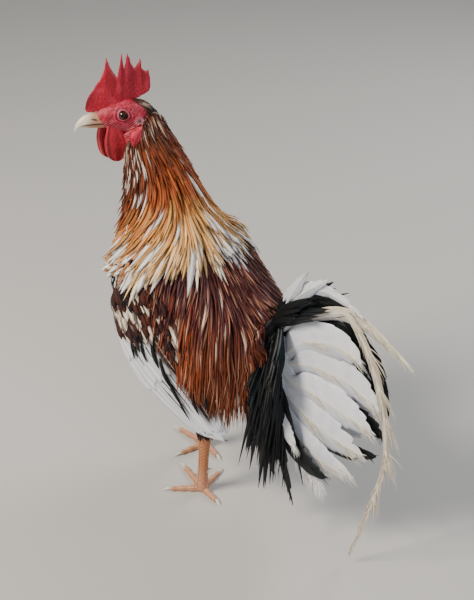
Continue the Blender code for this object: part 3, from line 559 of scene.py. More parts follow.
def bake_place(row, turn):
    """Where a spot of skin lies on the unwrap: across by its turn, down by its row, inside 0 to 1."""
    across = np.mod(turn / (2 * math.pi), 1.0)
    return np.stack([BAKE_LOW + BAKE_WIDE * across, BAKE_HIGH - BAKE_WIDE * row / LAST_ROW], -1)


skin_bake = []
for block in places:
    along = np.interp(block[..., 0] * (len(rows) - 1), np.arange(len(rows)), rows)
    skin_bake.append(np.stack([BAKE_LOW + BAKE_WIDE * block[..., 1],
                               BAKE_HIGH - BAKE_WIDE * along / LAST_ROW], -1))
print("the skin's grid has", row.shape, "points")

# %% [markdown]
# The thighs run down from the trunk inside their feathers, and no bare thigh shows. They could be pieces
# of their own, but tapered tubes that belong to the skin are enough.

# %% Legs: where they run
# Hocks and knees as x, y, z in mm, feet as x, y, toes as direction in degrees and length, and spurs as
# direction and height
HOCKS = {"left": (38, -41, 97), "right": (-14, 41, 94)}
KNEES = {"left": (-4, -30, 190), "right": (-30, 30, 190)}
FEET = {"left": (31, -39.5), "right": (-23, 39.5)}
TOES = {
    "left": {"outer": (215, 54), "middle": (154, 66), "inner": (93, 52), "rear": (343, 40)},
    "right": {"outer": (118, 52), "middle": (172, 66), "inner": (247, 50), "rear": (338, 42)},
}
SPURS = {"left": (25, 33), "right": (-30, 33)}
SIDES = ("left", "right")
SIGNS = {"left": 1, "right": -1}


def thigh_point(side, share, turn, height=0.0):
    """Down the thigh: knee + share (hock - knee), with an oval that narrows to the hock."""
    share, turn = np.broadcast_arrays(share, turn)
    knee, hock = MM * np.array(KNEES[side], float), MM * np.array(HOCKS[side], float)
    size = MM * np.interp(share, [0, 0.35, 0.7, 1], [20, 19, 12, 6.4]) + height
    along = unit(hock - knee)
    across = unit(BIRD_LEFT - along * (along @ BIRD_LEFT))
    ahead = np.cross(across, along)
    middle = knee + (hock - knee) * share[..., None]
    front, beside = 1.15 * size * np.cos(turn), 0.9 * size * np.sin(turn)
    return middle + ahead * front[..., None] + across * beside[..., None]


parts = [(vertices, faces, skin_bake, colour)]
for side in SIDES:
    ring = np.linspace(0, 2 * math.pi, 24, endpoint=False)
    share, turn = np.meshgrid(np.linspace(0, 1, 24), ring, indexing="ij")
    some, blocks, places = wrapped(thigh_point(side, share, turn))
    # Both thighs share a small corner of the unwrap that the skin leaves free
    corner = np.array([0.0 if side == "left" else 0.01, 0.0])
    maps = [corner + 0.009 * place for place in places]
    parts.append((some, blocks, maps, np.tile(MAROON * 0.5, (len(some), 1))))
vertices, faces, maps, colour = joined(parts)
piece("skin", vertices, faces, skin_paint, maps, colour,
      replaced=("head", "neck", "torso", "thigh_left", "thigh_right"))

# %% [markdown]
# A cock's eye is a wet ball that fills its socket: a black pupil, a narrow brown iris, and a clear cornea
# that throws back the lamp. A glass shell over an inner ball would be truer, but in so small an eye one
# ball with a smooth coat looks the same.

# %% Eyes
PUPIL_ANGLE, IRIS_ANGLE = 0.58, 0.80
eye_paint, tree, shader = blank("cornea over a brown iris", Roughness=0.10, Coat_Weight=0.3,
                                Coat_Roughness=0.03, IOR=1.34)
tint = add(tree, "ShaderNodeAttribute", attribute_name="Tint")
tree.links.new(tint.outputs["Color"], shader.inputs["Base Color"])
for side, sign in SIGNS.items():
    axis = unit(LEFT * sign + 0.10 * AHEAD + 0.05 * UP)
    first = unit(np.cross(axis, UP))
    angle, turn = np.meshgrid(np.linspace(0.02, math.pi - 0.02, 40),
                              np.linspace(0, 2 * math.pi, 48, endpoint=False), indexing="ij")
    spread = first * np.cos(turn)[..., None] + np.cross(axis, first) * np.sin(turn)[..., None]
    dome = EYE_RADIUS + 0.35 * ease(0.7 - angle, 0.0, 0.5)
    way = axis * np.cos(angle)[..., None] + spread * np.sin(angle)[..., None]
    points = head_point(EYE_AT[0], EYE_AT[1], sign * float(EYE_AT[2])) + MM * dome[..., None] * way
    rays = 0.5 + 0.5 * np.sin(37 * turn + 3 * np.sin(9 * turn))
    tone = mix("56280F", "2A1008", rays)
    tone = mix(tone, "0B0605", ease(PUPIL_ANGLE - angle, 0.0, 0.05))
    tone = mix(tone, "140807", ease(angle, IRIS_ANGLE, IRIS_ANGLE + 0.10))
    solid(f"eyeball_{side}", points, tone, eye_paint, (f"eye_{side}",))

# %% [markdown]
# The comb is flesh covered in fine pimples. Wattles, beak and leg scales are finished alike: a colour of
# their own, broken up by one small pattern that also gives the bump. Each could have a graph of its own,
# but one function makes them from the pattern, its two shades and the bump's strength.

# %% Comb flesh
def grained(name, kind, output, pattern, shares, bump, **inputs):
    """A material whose own colour is multiplied by a ramp over a pattern, which also gives its bump."""
    made, tree, shader = blank(name, **inputs)
    place = add(tree, "ShaderNodeTexCoord")
    tint = add(tree, "ShaderNodeAttribute", attribute_name="Tint")
    grain = add(tree, kind, [("Vector", place, "Object")], pattern)
    shade = add(tree, "ShaderNodeValToRGB", [("Fac", grain, output)])
    for element, share in zip(shade.color_ramp.elements, shares):
        element.color = (*share, 1)
    tinted = add(tree, "ShaderNodeVectorMath", [(0, tint, "Color"), (1, shade, "Color")],
                 operation="MULTIPLY")
    tree.links.new(tinted.outputs["Vector"], shader.inputs["Base Color"])
    relief = add(tree, "ShaderNodeBump", [("Height", grain, output)], bump)
    tree.links.new(relief.outputs["Normal"], shader.inputs["Normal"])
    return made, shader, relief


# Pimples on the comb are about 1.5 mm apart, so 660 to the metre
flesh_paint, shader, relief = grained(
    "comb flesh", "ShaderNodeTexVoronoi", "Distance", {"Scale": 660.0},
    ((1.16, 1.15, 1.15), (0.66, 0.50, 0.54)), {"Strength": 0.55, "Distance": 0.0006},
    Roughness=0.42, Subsurface_Weight=0.15, Subsurface_Scale=0.004, IOR=1.42)
shader.inputs["Subsurface Radius"].default_value = (1.0, 0.2, 0.15)
relief.invert = True
print("material", flesh_paint.name)

# %% [markdown]
# The comb is one blade of flesh with five points, thick at its foot, thin along its edge, and grooved
# between the points. A flat outline with a Solidify modifier would have one thickness. Instead a row of
# columns gives the outline, and each is a flat loop, up the left face and down the right one, whose
# thickness is a formula of the height.

# %% Comb
# Columns from front to rear: ahead and up of the foot, ahead and up of the top
COMB_COLUMNS = [
    (50, 9, 51.0, 13), (46, 8, 48, 23), (41, 8, 38.5, 36), (36, 10, 31, 46), (32, 10, 26, 57),
    (29, 10, 23.4, 71.2), (25, 11, 19, 58), (20, 12, 12.4, 47), (15, 13, 9, 61), (11, 14, 5.5, 75.5),
    (7, 15, 3.8, 56), (3, 16, 1.5, 64), (0, 17, -1, 75), (-4, 19, -4, 65), (-8, 21, -7.5, 55.5),
    (-12, 22, -11.5, 59.5), (-15, 24, -15.5, 67), (-18, 25, -17, 54), (-20, 26, -21, 51.5),
    (-22, 27, -24.5, 53), (-24, 28, -26, 43), (-24, 28, -26, 33),
]
COMB_SWAY = 1.6
COMB_HALF = 2.3
ALONG_COMB = 170
UP_COMB = 34
columns = np.array(COMB_COLUMNS, float)
at = np.linspace(0, len(columns) - 1, ALONG_COMB)
columns = np.stack([np.interp(at, np.arange(len(columns)), columns[:, k]) for k in range(4)], 1)
columns[:, 3] += 0.9 * ripple(at * 4.0, at * 2.3, 0 * at, 1.0) * ease(at, 0.3, 1.5)
columns[:, 2] += 0.5 * ripple(at * 5.0, at * 3.1, 0 * at, 4.0)
loop = np.linspace(0, 2, 2 * UP_COMB, endpoint=False)[None]
rise = np.where(loop < 1, loop, 2 - loop)
face = np.where(loop < 1, 1.0, -1.0)
ahead = columns[:, [0]] * (1 - rise) + columns[:, [2]] * rise
up = columns[:, [1]] * (1 - rise) + columns[:, [3]] * rise
groove = np.interp(at, [0, 5, 7, 9, 10, 12, 14, 16, 18, 21],
                   [0.5, 1.15, 0.7, 1.15, 0.75, 1.1, 0.7, 1.0, 0.6, 0.4])[:, None]
thick = COMB_HALF * (1.25 - 0.85 * rise) * (1 - rise ** 9) * (1 + (groove - 1) * np.minimum(1.6 * rise, 1))
pimply = 0.25 * ripple(ahead * 1.7, up * 1.3, 3.0 * face, 4.0) + 0.07 * chance(thick.shape)
thick = thick + pimply * (1 - rise ** 4)
near_end = np.minimum(np.linspace(0, 1, ALONG_COMB), np.linspace(1, 0, ALONG_COMB))
ends = np.minimum(1, 0.35 + 3 * near_end)[:, None]
points = head_point(ahead, up, COMB_SWAY * np.sin(ahead / 9) + face * thick * ends)
tone = mix("A80A26", "CC2E4C", ease(ripple(ahead / 5, up / 6, 2 * face, 3.0), -0.2, 0.9) * 0.6)
specks = ease(chance(thick.shape), 0.7, 1.9)
tone = mix(tone, "D8566E", 0.45 * specks)
tone = mix(tone, "7A0C1C", 0.6 * ease(0.9 - groove, 0.0, 0.25) * ease(rise, 0.3, 0.8))
tone = mix(tone, "DC6C78", 0.45 * ease(rise, 0.86, 1.0))
solid("comb_blade", points, tone, flesh_paint, ("comb",))

# %% [markdown]
# The wattles are two thin leaves of the same flesh that hang from the lower beak, and the ear lobes are
# soft drops below the ears. Cloth could be hung there, but flesh this thick hardly folds. So each is a
# closed leaf: p runs down it, q runs out over its outer face and back over the inner one, and an outline
# gives its middle and thickness.

# %% Wattles and lobes
LOBE_OUT = {"left": 27.0, "right": 17.5}
LOBE_DEEP = {"left": 8.0, "right": 6.0}


def leaf(stations, points_round, outline, side):
    """A closed leaf: outline(p, q, side) gives ahead, up, left and half-thickness in millimetres."""
    p = np.sin(np.linspace(0, math.pi / 2, stations))[:, None]
    loop = np.linspace(0, 4, points_round, endpoint=False)[None]
    q = np.where(loop < 2, loop - 1, 3 - loop)
    face = np.where(loop < 2, 1.0, -1.0)
    ahead, up, left, half = outline(p, q, side)
    return head_point(ahead, up, left + face * half), q, face, p


def wattle(p, q, side):
    """A round-ended leaf: half-width 13 mm below, closed by a root of a cube, its front edge folded."""
    closing = 13 * np.sqrt(np.maximum(1 - np.clip((p - 0.45) / 0.552, 0, 1) ** 3, 0))
    half = np.where(p < 0.45, 7.5 + 5.5 * ease(p, -0.1, 0.45), closing)
    q = np.sign(q) * np.abs(q) ** 0.8
    ahead = (20 if side == "left" else 27) - 1.5 * p + half * q
    up = -7 - 45 * p - 3 * q * p * (1 - p)
    fold = 8 + 1.2 * np.sin(5 * p) + 1.1 * np.sin(5.5 * q + 1) * p + 0.9 * np.exp(-((q - 0.86) / 0.12) ** 2)
    thick = 0.25 + 2.1 * np.sqrt(np.maximum(1 - q ** 2, 0)) * (0.62 + 0.5 * np.sin(math.pi * p))
    thick = thick * np.sqrt(1 - 0.96 * p ** 14)
    thick = thick + 0.15 * ripple(ahead, up, 0 * up, 2.0) * (1 - q ** 4)
    return ahead, up, SIGNS[side] * fold, thick


def lobe(p, q, side):
    """A drop that narrows towards its lower front end, with a shallow groove down its middle."""
    half = np.interp(p, [0, 0.1, 0.3, 0.6, 0.85, 1.0], [6.5, 9.8, 10.8, 8.6, 4.9, 1.4])
    ahead = -9.5 + 9.5 * p + half * q
    up = -7.0 - 19 * p - 1.5 * q
    thick = 0.3 + 3.0 * np.sqrt(np.maximum(1 - q ** 2, 0)) * np.sin(math.pi * (0.08 + 0.86 * p)) ** 0.5
    thick = thick - 0.5 * np.exp(-((q - 0.1) / 0.16) ** 2) * np.sin(math.pi * p)
    deep = LOBE_DEEP[side] * np.sqrt(1 - 0.98 * p)
    left = SIGNS[side] * (LOBE_OUT[side] + 0.5 + 1.5 * p - deep / 2)
    return ahead, up, left + 0 * q, thick + deep / 2


for side in SIDES:
    points, q, face, p = leaf(70, 96, wattle, side)
    patchy = ripple(4 * p + 0 * q, 3 * q + 0 * p, face + 0 * p, 1.0)
    tone = mix("9A0C1E", "BE2236", ease(patchy, -0.6, 0.8))
    tone = mix(tone, "DB5A60", 0.7 * np.exp(-((q - 0.78) / 0.10) ** 2) + 0 * p)
    tone = mix(tone, "78101C", 0.6 * np.exp(-((q - 0.58) / 0.10) ** 2) + 0 * p)
    solid(f"wattle_leaf_{side}", points, tone, flesh_paint, (f"wattle_{side}",))

for side in SIDES:
    points, q, face, p = leaf(50, 64, lobe, side)
    patchy = ripple(5 * p + 0 * q, 3 * q + 0 * p, face + 0 * p, 6.0)
    tone = mix("A81430", "CC3C52", ease(patchy, -0.5, 0.8))
    tone = mix(tone, "E08C90", 0.75 * ease(-q, 0.72, 0.98) + 0 * p)
    tone = mix(tone, "801020", 0.6 * np.exp(-((q - 0.1) / 0.14) ** 2) * np.sin(math.pi * p))
    solid(f"earlobe_{side}", points, tone, flesh_paint, (f"lobe_{side}",))

# %% [markdown]
# The beak is horn: pale at the hooked tip, warmer and streaked towards the face, with the nostril under a
# small flap. It could be two bent cones, but the mouth's line and the hook are measured. So each half is
# a row of stations, an arch with a shallow hollow towards the mouth, and the nostril is a dent in it.

# %% Beak
# Horn grows in layers about 1 mm apart, so 900 to the metre
horn_paint, _, _ = grained(
    "horn of beak, claws and spurs", "ShaderNodeTexNoise", "Fac", {"Scale": 900.0, "Detail": 3.0},
    ((0.80, 0.76, 0.70), (1.08, 1.07, 1.05)), {"Strength": 0.2, "Distance": 0.0003},
    Roughness=0.34, Subsurface_Weight=0.1, Subsurface_Scale=0.002, IOR=1.54)

# Stations: ahead, height of the mouth's line, depth and half-width of the half
BEAKS = {
    "upper": (1, [(28, -4.6, 12, 8.2), (34, -4.6, 12.6, 7.8), (41, -4.8, 12.2, 6.9), (49, -5.2, 11.2, 5.7),
                  (57, -6.6, 8.4, 4.2), (62.5, -9.6, 5.2, 2.6), (65.2, -14.0, 1.6, 0.8)]),
    "lower": (-1, [(31, -4.7, 6.6, 7.0), (35, -4.8, 6.4, 6.8), (42, -5.0, 5.8, 5.7), (51, -5.6, 4.4, 4.1),
                   (58, -7.4, 1.6, 1.6)]),
}
for half, (sign, stations) in BEAKS.items():
    stations = smooth(np.array(stations, float), np.linspace(0, len(stations) - 1, 64))
    ahead, line, deep, wide = (stations[:, [k]] for k in range(4))
    turn = np.linspace(0, math.pi, 30)[None]
    arch = np.sin(turn) ** 0.9
    side = np.cos(turn)
    back = np.linspace(-0.96, 0.96, 10)[None]
    hollow = line + sign * 0.15 - 0.9 * sign * (1 - back ** 2)
    up = np.concatenate([line + sign * (0.15 + deep * arch), hollow], 1)
    left = np.concatenate([wide * side, wide * back], 1)
    ahead = np.concatenate([ahead + 0 * turn, ahead + 0 * back], 1)
    hole = np.exp(-((ahead - 41.5) / 3.6) ** 2 - ((up - 0.4 - 0.16 * (ahead - 41.5)) / 0.95) ** 2)
    flap = np.exp(-((ahead - 43.0) / 3.4) ** 2 - ((up - 2.9) / 1.1) ** 2)
    hole, flap = (hole, flap) if half == "upper" else (0 * up, 0 * up)
    left = left * (1 - 0.30 * hole + 0.09 * flap)
    points = head_point(ahead, up, left)
    tone = mix("C09470", "EDE3CF", ease(ahead, 38, 54))
    streaked = ease(ripple(ahead / 3, up * 1.4, 0 * up, 2.0), 0.1, 0.9)
    tone = mix(tone, "9C6E50", 0.55 * streaked * ease(50 - ahead, 0, 12))
    tone = mix(tone, "CF9A78", (0.75 if half == "lower" else 0.0) * ease(56 - ahead, 0, 12))
    edge = ease(5.5 - sign * (up - line), 0.0, 3.0) * ease(54 - ahead, 0, 12)
    tone = mix(tone, "B07F62", 0.65 * edge)
    tone = mix(tone, "2A1512", np.clip(1.3 * hole, 0, 1) + 0 * up)
    gape = ease(1.5 - sign * (up - line), 0.0, 0.9) * ease(60 - ahead, 0, 8)
    tone = mix(tone, "3A1A14", 0.85 * gape)
    solid(f"beak_{half}_horn", points, tone, horn_paint, (f"beak_{half}",))

# %% [markdown]
# A feather's vane is made of barbs, fine hairs that slant from the shaft and show as fine lines. As
# geometry they would be millions of strands, and a picture would repeat. So the lines are a pattern over
# the map of barbs, in millimetres across and along each feather, and change colour and bump together.

# %% Feather material
def feather_paint(name, roughness, streak, shine):
    """Barbs as fine slanting lines on both sides of a shaft, on top of each feather's own colour."""
    made, tree, shader = blank(name, Roughness=roughness, IOR=1.45)
    shader.inputs["Specular IOR Level"].default_value = shine
    tint = add(tree, "ShaderNodeAttribute", attribute_name="Tint")
    barb = add(tree, "ShaderNodeUVMap", uv_map="Barbs")
    part = add(tree, "ShaderNodeSeparateXYZ", [("Vector", barb, "UV")])
    off = add(tree, "ShaderNodeMath", [(0, part, "X")], operation="ABSOLUTE")
    # Barbs slant towards the tip: lines of equal (along - 1.2 off), at 1.4 to the millimetre
    slant = add(tree, "ShaderNodeMath", [(0, off, "Value"), (2, part, "Y")], {1: -1.2},
                operation="MULTIPLY_ADD")
    line = add(tree, "ShaderNodeCombineXYZ", [("X", slant, "Value")])
    lines = add(tree, "ShaderNodeTexNoise", [("Vector", line, "Vector")], {"Scale": 1.4, "Detail": 3.0})
    # Streaks along the feather 1.1 mm apart and 12 mm long
    stretch = add(tree, "ShaderNodeVectorMath", [(0, barb, "UV")], {1: (0.9, 0.08, 1.0)},
                  operation="MULTIPLY")
    streaks = add(tree, "ShaderNodeTexNoise", [("Vector", stretch, "Vector")], {"Scale": 1.0, "Detail": 4.0})
    both = add(tree, "ShaderNodeMath", [(0, lines, "Fac"), (2, streaks, "Fac")], {1: 0.55},
               operation="MULTIPLY_ADD")
    tone = add(tree, "ShaderNodeMapRange", [("Value", both, "Value")],
               {"From Min": 0.45, "From Max": 1.1, "To Min": 1 - streak, "To Max": 1 + streak})
    tinted = add(tree, "ShaderNodeVectorMath", [(0, tint, "Color"), ("Scale", tone, "Result")],
                 operation="SCALE")
    tree.links.new(tinted.outputs["Vector"], shader.inputs["Base Color"])
    bump = add(tree, "ShaderNodeBump", [("Height", both, "Value")], {"Strength": 0.35, "Distance": 0.0005})
    tree.links.new(bump.outputs["Normal"], shader.inputs["Normal"])
    return made


# Silky feathers gleam along their streaks, soft ones look like felt, and quills are smooth and even
hackle_paint = feather_paint("silky hackle barbs", 0.50, 0.42, 0.45)
down_paint = feather_paint("soft body barbs", 0.62, 0.35, 0.35)
vane_paint = feather_paint("stiff quill vanes", 0.55, 0.16, 0.40)
print("feather materials", hackle_paint.name, down_paint.name, vane_paint.name)

# %% [markdown]
# Every feather is a thin closed strip. A hackle or body feather has four points round it at each station,
# so that it is slightly vaulted and its ridge catches the light. One feather could be copied thousands of
# times, but then all would lie alike. So a coat is worked out at once as arrays, each feather bent in its
# own way.

# %% Feather maker
def plumes(name, section, tint, barbs, bake, paint, replaced=()):
    """Closed feathers as one mesh; section is (feather, station, place round, 3), the rest match it."""
    n, s, m = section.shape[:3]
    number = np.arange(n * s * m).reshape(n, s, m)
    after = np.roll(number, -1, axis=2)
    sides = np.stack([number[:, :-1], after[:, :-1], after[:, 1:], number[:, 1:]], -1).reshape(-1, 4)
    k = np.arange(m // 2 - 1)
    cap = np.stack([k, k + 1, m - 2 - k, m - 1 - k], 1)
    ends = [number[:, 0][:, cap[:, ::-1]].reshape(-1, 4), number[:, -1][:, cap].reshape(-1, 4)]
    quads = np.concatenate([sides, *ends])
    bake, barbs = (np.broadcast_to(a, (n, s, m, 2)).reshape(-1, 2)[quads] for a in (bake, barbs))
    tint = np.broadcast_to(tint, (n, s, m, 3)).reshape(-1, 3)
    return piece(name, section.reshape(-1, 3), [quads], paint, [bake], tint, [barbs], replaced)


def blades(path, out, half, thick, dish=0.30):
    """Sections of left edge, ridge, right edge and underside at each station of each path."""
    along = unit(np.gradient(path, axis=1))
    across = unit(np.cross(out, along))
    up = np.cross(along, across)
    half, thick = half[..., None], np.broadcast_to(thick, half.shape)[..., None]
    low = path - up * half * dish
    under = low - up * (thick - half * dish) * 0.5
    return np.stack([low - across * half, path + up * thick, low + across * half, under], 2)


def shaded(tone, edge, ridge, under):
    """Colours at the left edge, ridge, right edge and underside: the feather's tone times a share."""
    return np.stack([tone * edge, tone * ridge, tone * edge, tone * under], 2)


# The side of a feather's patch in OFBake
TUFT = 0.003


def tuft_maps(half, length, root):
    """Barbs in millimetres across and along, and OFBake: a patch of 0.003 at the root's place."""
    n, s = half.shape
    share = np.linspace(0, 1, s)
    across = np.array([-1.0, 0.0, 1.0, 0.0])
    barbs = np.stack([half[:, :, None] * across / MM + 0 * share[None, :, None],
                      (length[:, None] * share / MM)[:, :, None] + 0 * across], -1)
    patch = np.stack(np.broadcast_arrays(across * 0.5, share[:, None] - 0.5), -1) * TUFT
    luck = rng.uniform(0, 90, (n, 1, 1, 1))
    return barbs + luck, root[:, None, None] + patch[None]


def leaf_shape(stations, widest, root, power):
    """Half-width shares along a feather: they grow to 1 at the widest place and shrink to a tip."""
    s = np.linspace(0, 1, stations)
    rise = root + (1 - root) * np.clip(s / widest, 0, 1) ** 0.7
    fall = np.clip((s - widest) / (1 - widest), 0, 1)
    return rise * (1 - fall ** power * 0.96)


print("widths along a body feather", np.round(leaf_shape(6, 0.6, 0.6, 2.4), 2).tolist())

# %% [markdown]
# Feathers cover a bird like roof tiles: each follows the skin from its root, and its free end rises over
# the next ones. A curve could be drawn for each, but there are thousands. So every feather walks over the
# skin in small steps, all of a coat at once.

# %% How feathers lie
# The step over which the skin's slopes are measured, in rows and in radians
SMALL = 1e-3
# Feathers hang freely where the skin's outward direction falls more steeply than this
HANG_FROM = -0.12
# Feathers above this row, on the neck, follow it all the way
HANG_AFTER = 8.0


def flow(row, turn, length, stations, way, lift, cover):
    """Paths over the skin, all at once, with the row, the turn and the outward way at each station.

    Each step solves for the move in (row, turn) whose step on the skin is nearest to the way wanted.
    Where the skin turns under, a feather hangs on freely.
    """
    row, turn = row.copy(), turn.copy()
    step = length / (stations - 1)
    path, out = np.zeros((2, len(row), stations, 3))
    rows, turns = np.zeros((2, len(row), stations))
    free = np.zeros(len(row), bool)
    for k in range(stations):
        down = (body(row + SMALL, turn) - body(row - SMALL, turn)) / (2 * SMALL)
        around = (body(row, turn + SMALL) - body(row, turn - SMALL)) / (2 * SMALL)
        normal = unit(np.cross(around, down))
        want = unit(way(row, turn, unit(down), unit(around)))
        share = k / (stations - 1)
        height = lift * share + cover(row, turn) * (1 - np.exp(-k * step / 0.009)) - 0.0006
        here = body(row, turn) + normal * height[:, None]
        if k:
            free |= (out[:, k - 1, 2] < HANG_FROM) & (row > HANG_AFTER) | (row > LAST_ROW - 0.4)
            here = np.where(free[:, None], path[:, k - 1] + want * step[:, None], here)
            normal = np.where(free[:, None], out[:, k - 1], normal)
        path[:, k], out[:, k], rows[:, k], turns[:, k] = here, normal, row, turn
        a, b, c = (down * down).sum(-1), (down * around).sum(-1), (around * around).sum(-1)
        p, q = (down * want).sum(-1), (around * want).sum(-1)
        move = np.stack([c * p - b * q, a * q - b * p], -1) / (a * c - b * b)[:, None]
        pace = down * move[:, :1] + around * move[:, 1:]
        move = move * (step / np.maximum(np.linalg.norm(pace, axis=-1), 1e-9))[:, None]
        row = np.minimum(row + move[:, 0] * ~free, LAST_ROW - 0.02)
        turn = turn + move[:, 1] * ~free
    return path, out, rows, turns


def roots(first, last, apart, beside, low=0.0, high=math.pi):
    """Root rows and turns in staggered rings: `apart` metres between rings, `beside` between roots."""
    at = np.linspace(first, last, 400)
    lines = np.stack([body(at, np.full(400, angle)) for angle in (-2.0, -1.0, 0.0, 1.0, 2.0)])
    gone = np.concatenate([[0], np.cumsum(np.linalg.norm(np.diff(lines, axis=1), axis=2).max(0))])
    rings = np.interp(np.arange(0, gone[-1], apart), gone, at)
    half = smooth(SKIN_ROWS, rings)[:, 9:11].mean(1)
    numbers = np.maximum((2 * half * (high - low) / beside).astype(int), 3)
    row = np.repeat(rings, numbers)
    share = np.concatenate([(np.arange(n) + rng.uniform(0, 1)) / n for n in numbers])
    turn = (low + (high - low) * np.abs(2 * share - 1)) * np.sign(share - 0.5)
    row = row + chance(row.shape, 0.3 * apart / gone[-1] * (last - first))
    return row, turn + chance(turn.shape, 0.35 * beside / half.mean())


def wing_cover(most):
    """How much higher a feather lies where the folded wing is under it."""
    def cover(row, turn):
        return most * ease(row - NECK_ROW, 2.8, 3.6) * ease(np.abs(np.sin(turn)), 0.35, 0.75)
    return cover


def along_body(row, turn, down, around):
    """Straight back along the rows."""
    return down


trial = flow(np.array([9.0]), np.zeros(1), np.array([0.05]), 5, along_body, 0.0, wing_cover(0.0))[0]
print("a 50 mm feather laid on the neck spans", round(np.linalg.norm(trial[0, -1] - trial[0, 0]) / MM), "mm")

# %% [markdown]
# The hackle starts behind the bare face with feathers no longer than a fingernail. Down the neck they
# grow to seven centimetres and more, narrow and pointed, and the last ones fall over the shoulders as a
# cape, which parts over the breast. Combed hair could imitate it, but only separate feathers can each
# have a colour.

# %% Hackle
HACKLE_STATIONS = 9
# The row at which the cape ends over the breast
CAPE_END = 10.25
# Lengths of the hackle by row, and how high the nape's feathers stand off the skin, in millimetres
HACKLE_ROWS, HACKLE_LONG = (3.0, 4.2, 4.9, 5.5, 6.5, 7.0, 8.0, 9.2, 10.4), (8, 13, 21, 28, 38, 46, 60, 74, 72)
NAPE_ROWS, NAPE_HIGH = (4.9, 5.6, 6.1, 6.5, 7.0, 8.0, 8.6, 9.4), (0, 2.5, 7, 10, 10, 8.5, 6, 0)
# Roots over the whole neck, and a finer set behind the face
row, turn = roots(4.2, 10.35, 0.0058, 0.0052)
fine = roots(3.0, 7.3, 0.0032, 0.0034)
row, turn = np.concatenate([row, fine[0]]), np.concatenate([turn, fine[1]])
kept = row > face_edge(turn) + 0.05
row, turn = row[kept], turn[kept]


def hackle_way(row, turn, down, around):
    """Down the neck, swinging towards the front of the bird by up to 46 degrees on the lower cape."""
    off = np.abs(turn)
    lean = np.radians(46) * ease(row, 7.6, 9.6) * ease(off, 0.15, 1.3) * ease(3.15 - off, 0.0, 0.9)
    return down * np.cos(lean)[:, None] + around * (np.sin(lean) * np.sign(turn))[:, None]


def hackle_cover(row, turn):
    """Over the wing's root the cape lies higher, and the nape is rounded out by up to 10 mm."""
    nape = np.interp(row, NAPE_ROWS, MM * np.array(NAPE_HIGH))
    return wing_cover(12 * MM)(row, turn) + nape * ease(np.cos(turn), 0.55, 0.92)


off = np.abs(turn)
length = np.interp(row, HACKLE_ROWS, MM * np.array(HACKLE_LONG))
length = length * (1 - 0.42 * ease(row, 8.6, 10.2) * ease(1.7 - off, 0.0, 0.9))
beside_lobe = ease(7.0 - row, 0.0, 0.4) * ease(off, 0.7, 1.1)
throat = ease(off, 0.95, 1.4) * ease(8.6 - row, 0.0, 0.7) * ease(row, 6.4, 7.0)
straggler = (rng.uniform(0, 1, row.shape) < 0.10) * ease(row, 9.0, 9.8)
breast = ease(off, 2.1, 2.6) * ease(row, 8.4, 9.4)
length = length * (1 - 0.5 * beside_lobe) * (1 - 0.45 * throat) * (1 - 0.5 * breast)
length = length * (1 + 0.38 * straggler) * np.exp(chance(row.shape, 0.12))
lift = MM * np.interp(row, [3.4, 4.2, 6.5, 8, 10.4], [0.9, 1.4, 2.4, 4.0, 6.0])
lift = lift * np.exp(chance(row.shape, 0.25))
# In front the cape ends higher, and the black and white breast shows under it
_, _, rows, turns = flow(row, turn, length, HACKLE_STATIONS, hackle_way, lift, hackle_cover)
over = (rows[:, -1] - CAPE_END) * ease(np.abs(turns[:, -1]), 1.80, 2.05)
length = length * (1 - np.clip(over / (rows[:, -1] - row + SMALL), 0, 0.75))
path, out, rows, turns = flow(row, turn, length, HACKLE_STATIONS, hackle_way, lift, hackle_cover)
across = unit(np.cross(out, np.gradient(path, axis=1)))
bend = chance(row.shape, 0.045)[:, None] * length[:, None] * np.linspace(0, 1, HACKLE_STATIONS) ** 2
path = path + across * bend[..., None]
# White feathers come by chance, in clumps, most of them along the cape's sides and its middle
likely = 0.04 + 0.16 * throat + 0.34 * ease(row, 8.3, 9.2) * ease(off, 0.95, 1.5) + 0.6 * straggler
likely += 0.62 * ease(0.27 - np.abs(turn + 0.02), 0.0, 0.12) * ease(row, 8.8, 9.2)
likely += 0.12 * ease(row, 9.3, 10.0)
likely += 0.22 * ease(6.5 - row, 0.0, 0.6) + 0.14 * ease(face_edge(turn) + 0.55 - row, 0.0, 0.25)
clump = 1.0 + 0.9 * ripple(turn * 9.0, row * 1.6, 0 * row, 2.0) * ease(row, 7.0, 8.0)
white = (rng.uniform(0, 1, row.shape) < likely * clump).astype(float)
width = MM * np.interp(row, [3.4, 4.2, 5.5, 6.5, 8, 10.4], [1.7, 2.2, 3.0, 4.2, 5.0, 5.8])
width = width * np.exp(chance(row.shape, 0.18))
width = width * (1 + 0.9 * white * ease(row, 7.6, 9.0) - 0.3 * white * ease(7.4 - row, 0.0, 0.5))
half = width[:, None] / 2 * leaf_shape(HACKLE_STATIONS, 0.45, 0.5, 1.7)[None]
print("hackle feathers", len(row), "of them white", int(white.sum()))

# %% [markdown]
# The neck's colour runs down as if it were brushed over all feathers, but no two neighbours are alike.
# One gradient would look painted, and pure chance like confetti. So each feather takes the gradient where
# it lies, and chance makes it lighter or darker, orange, white, or dark near its tip.

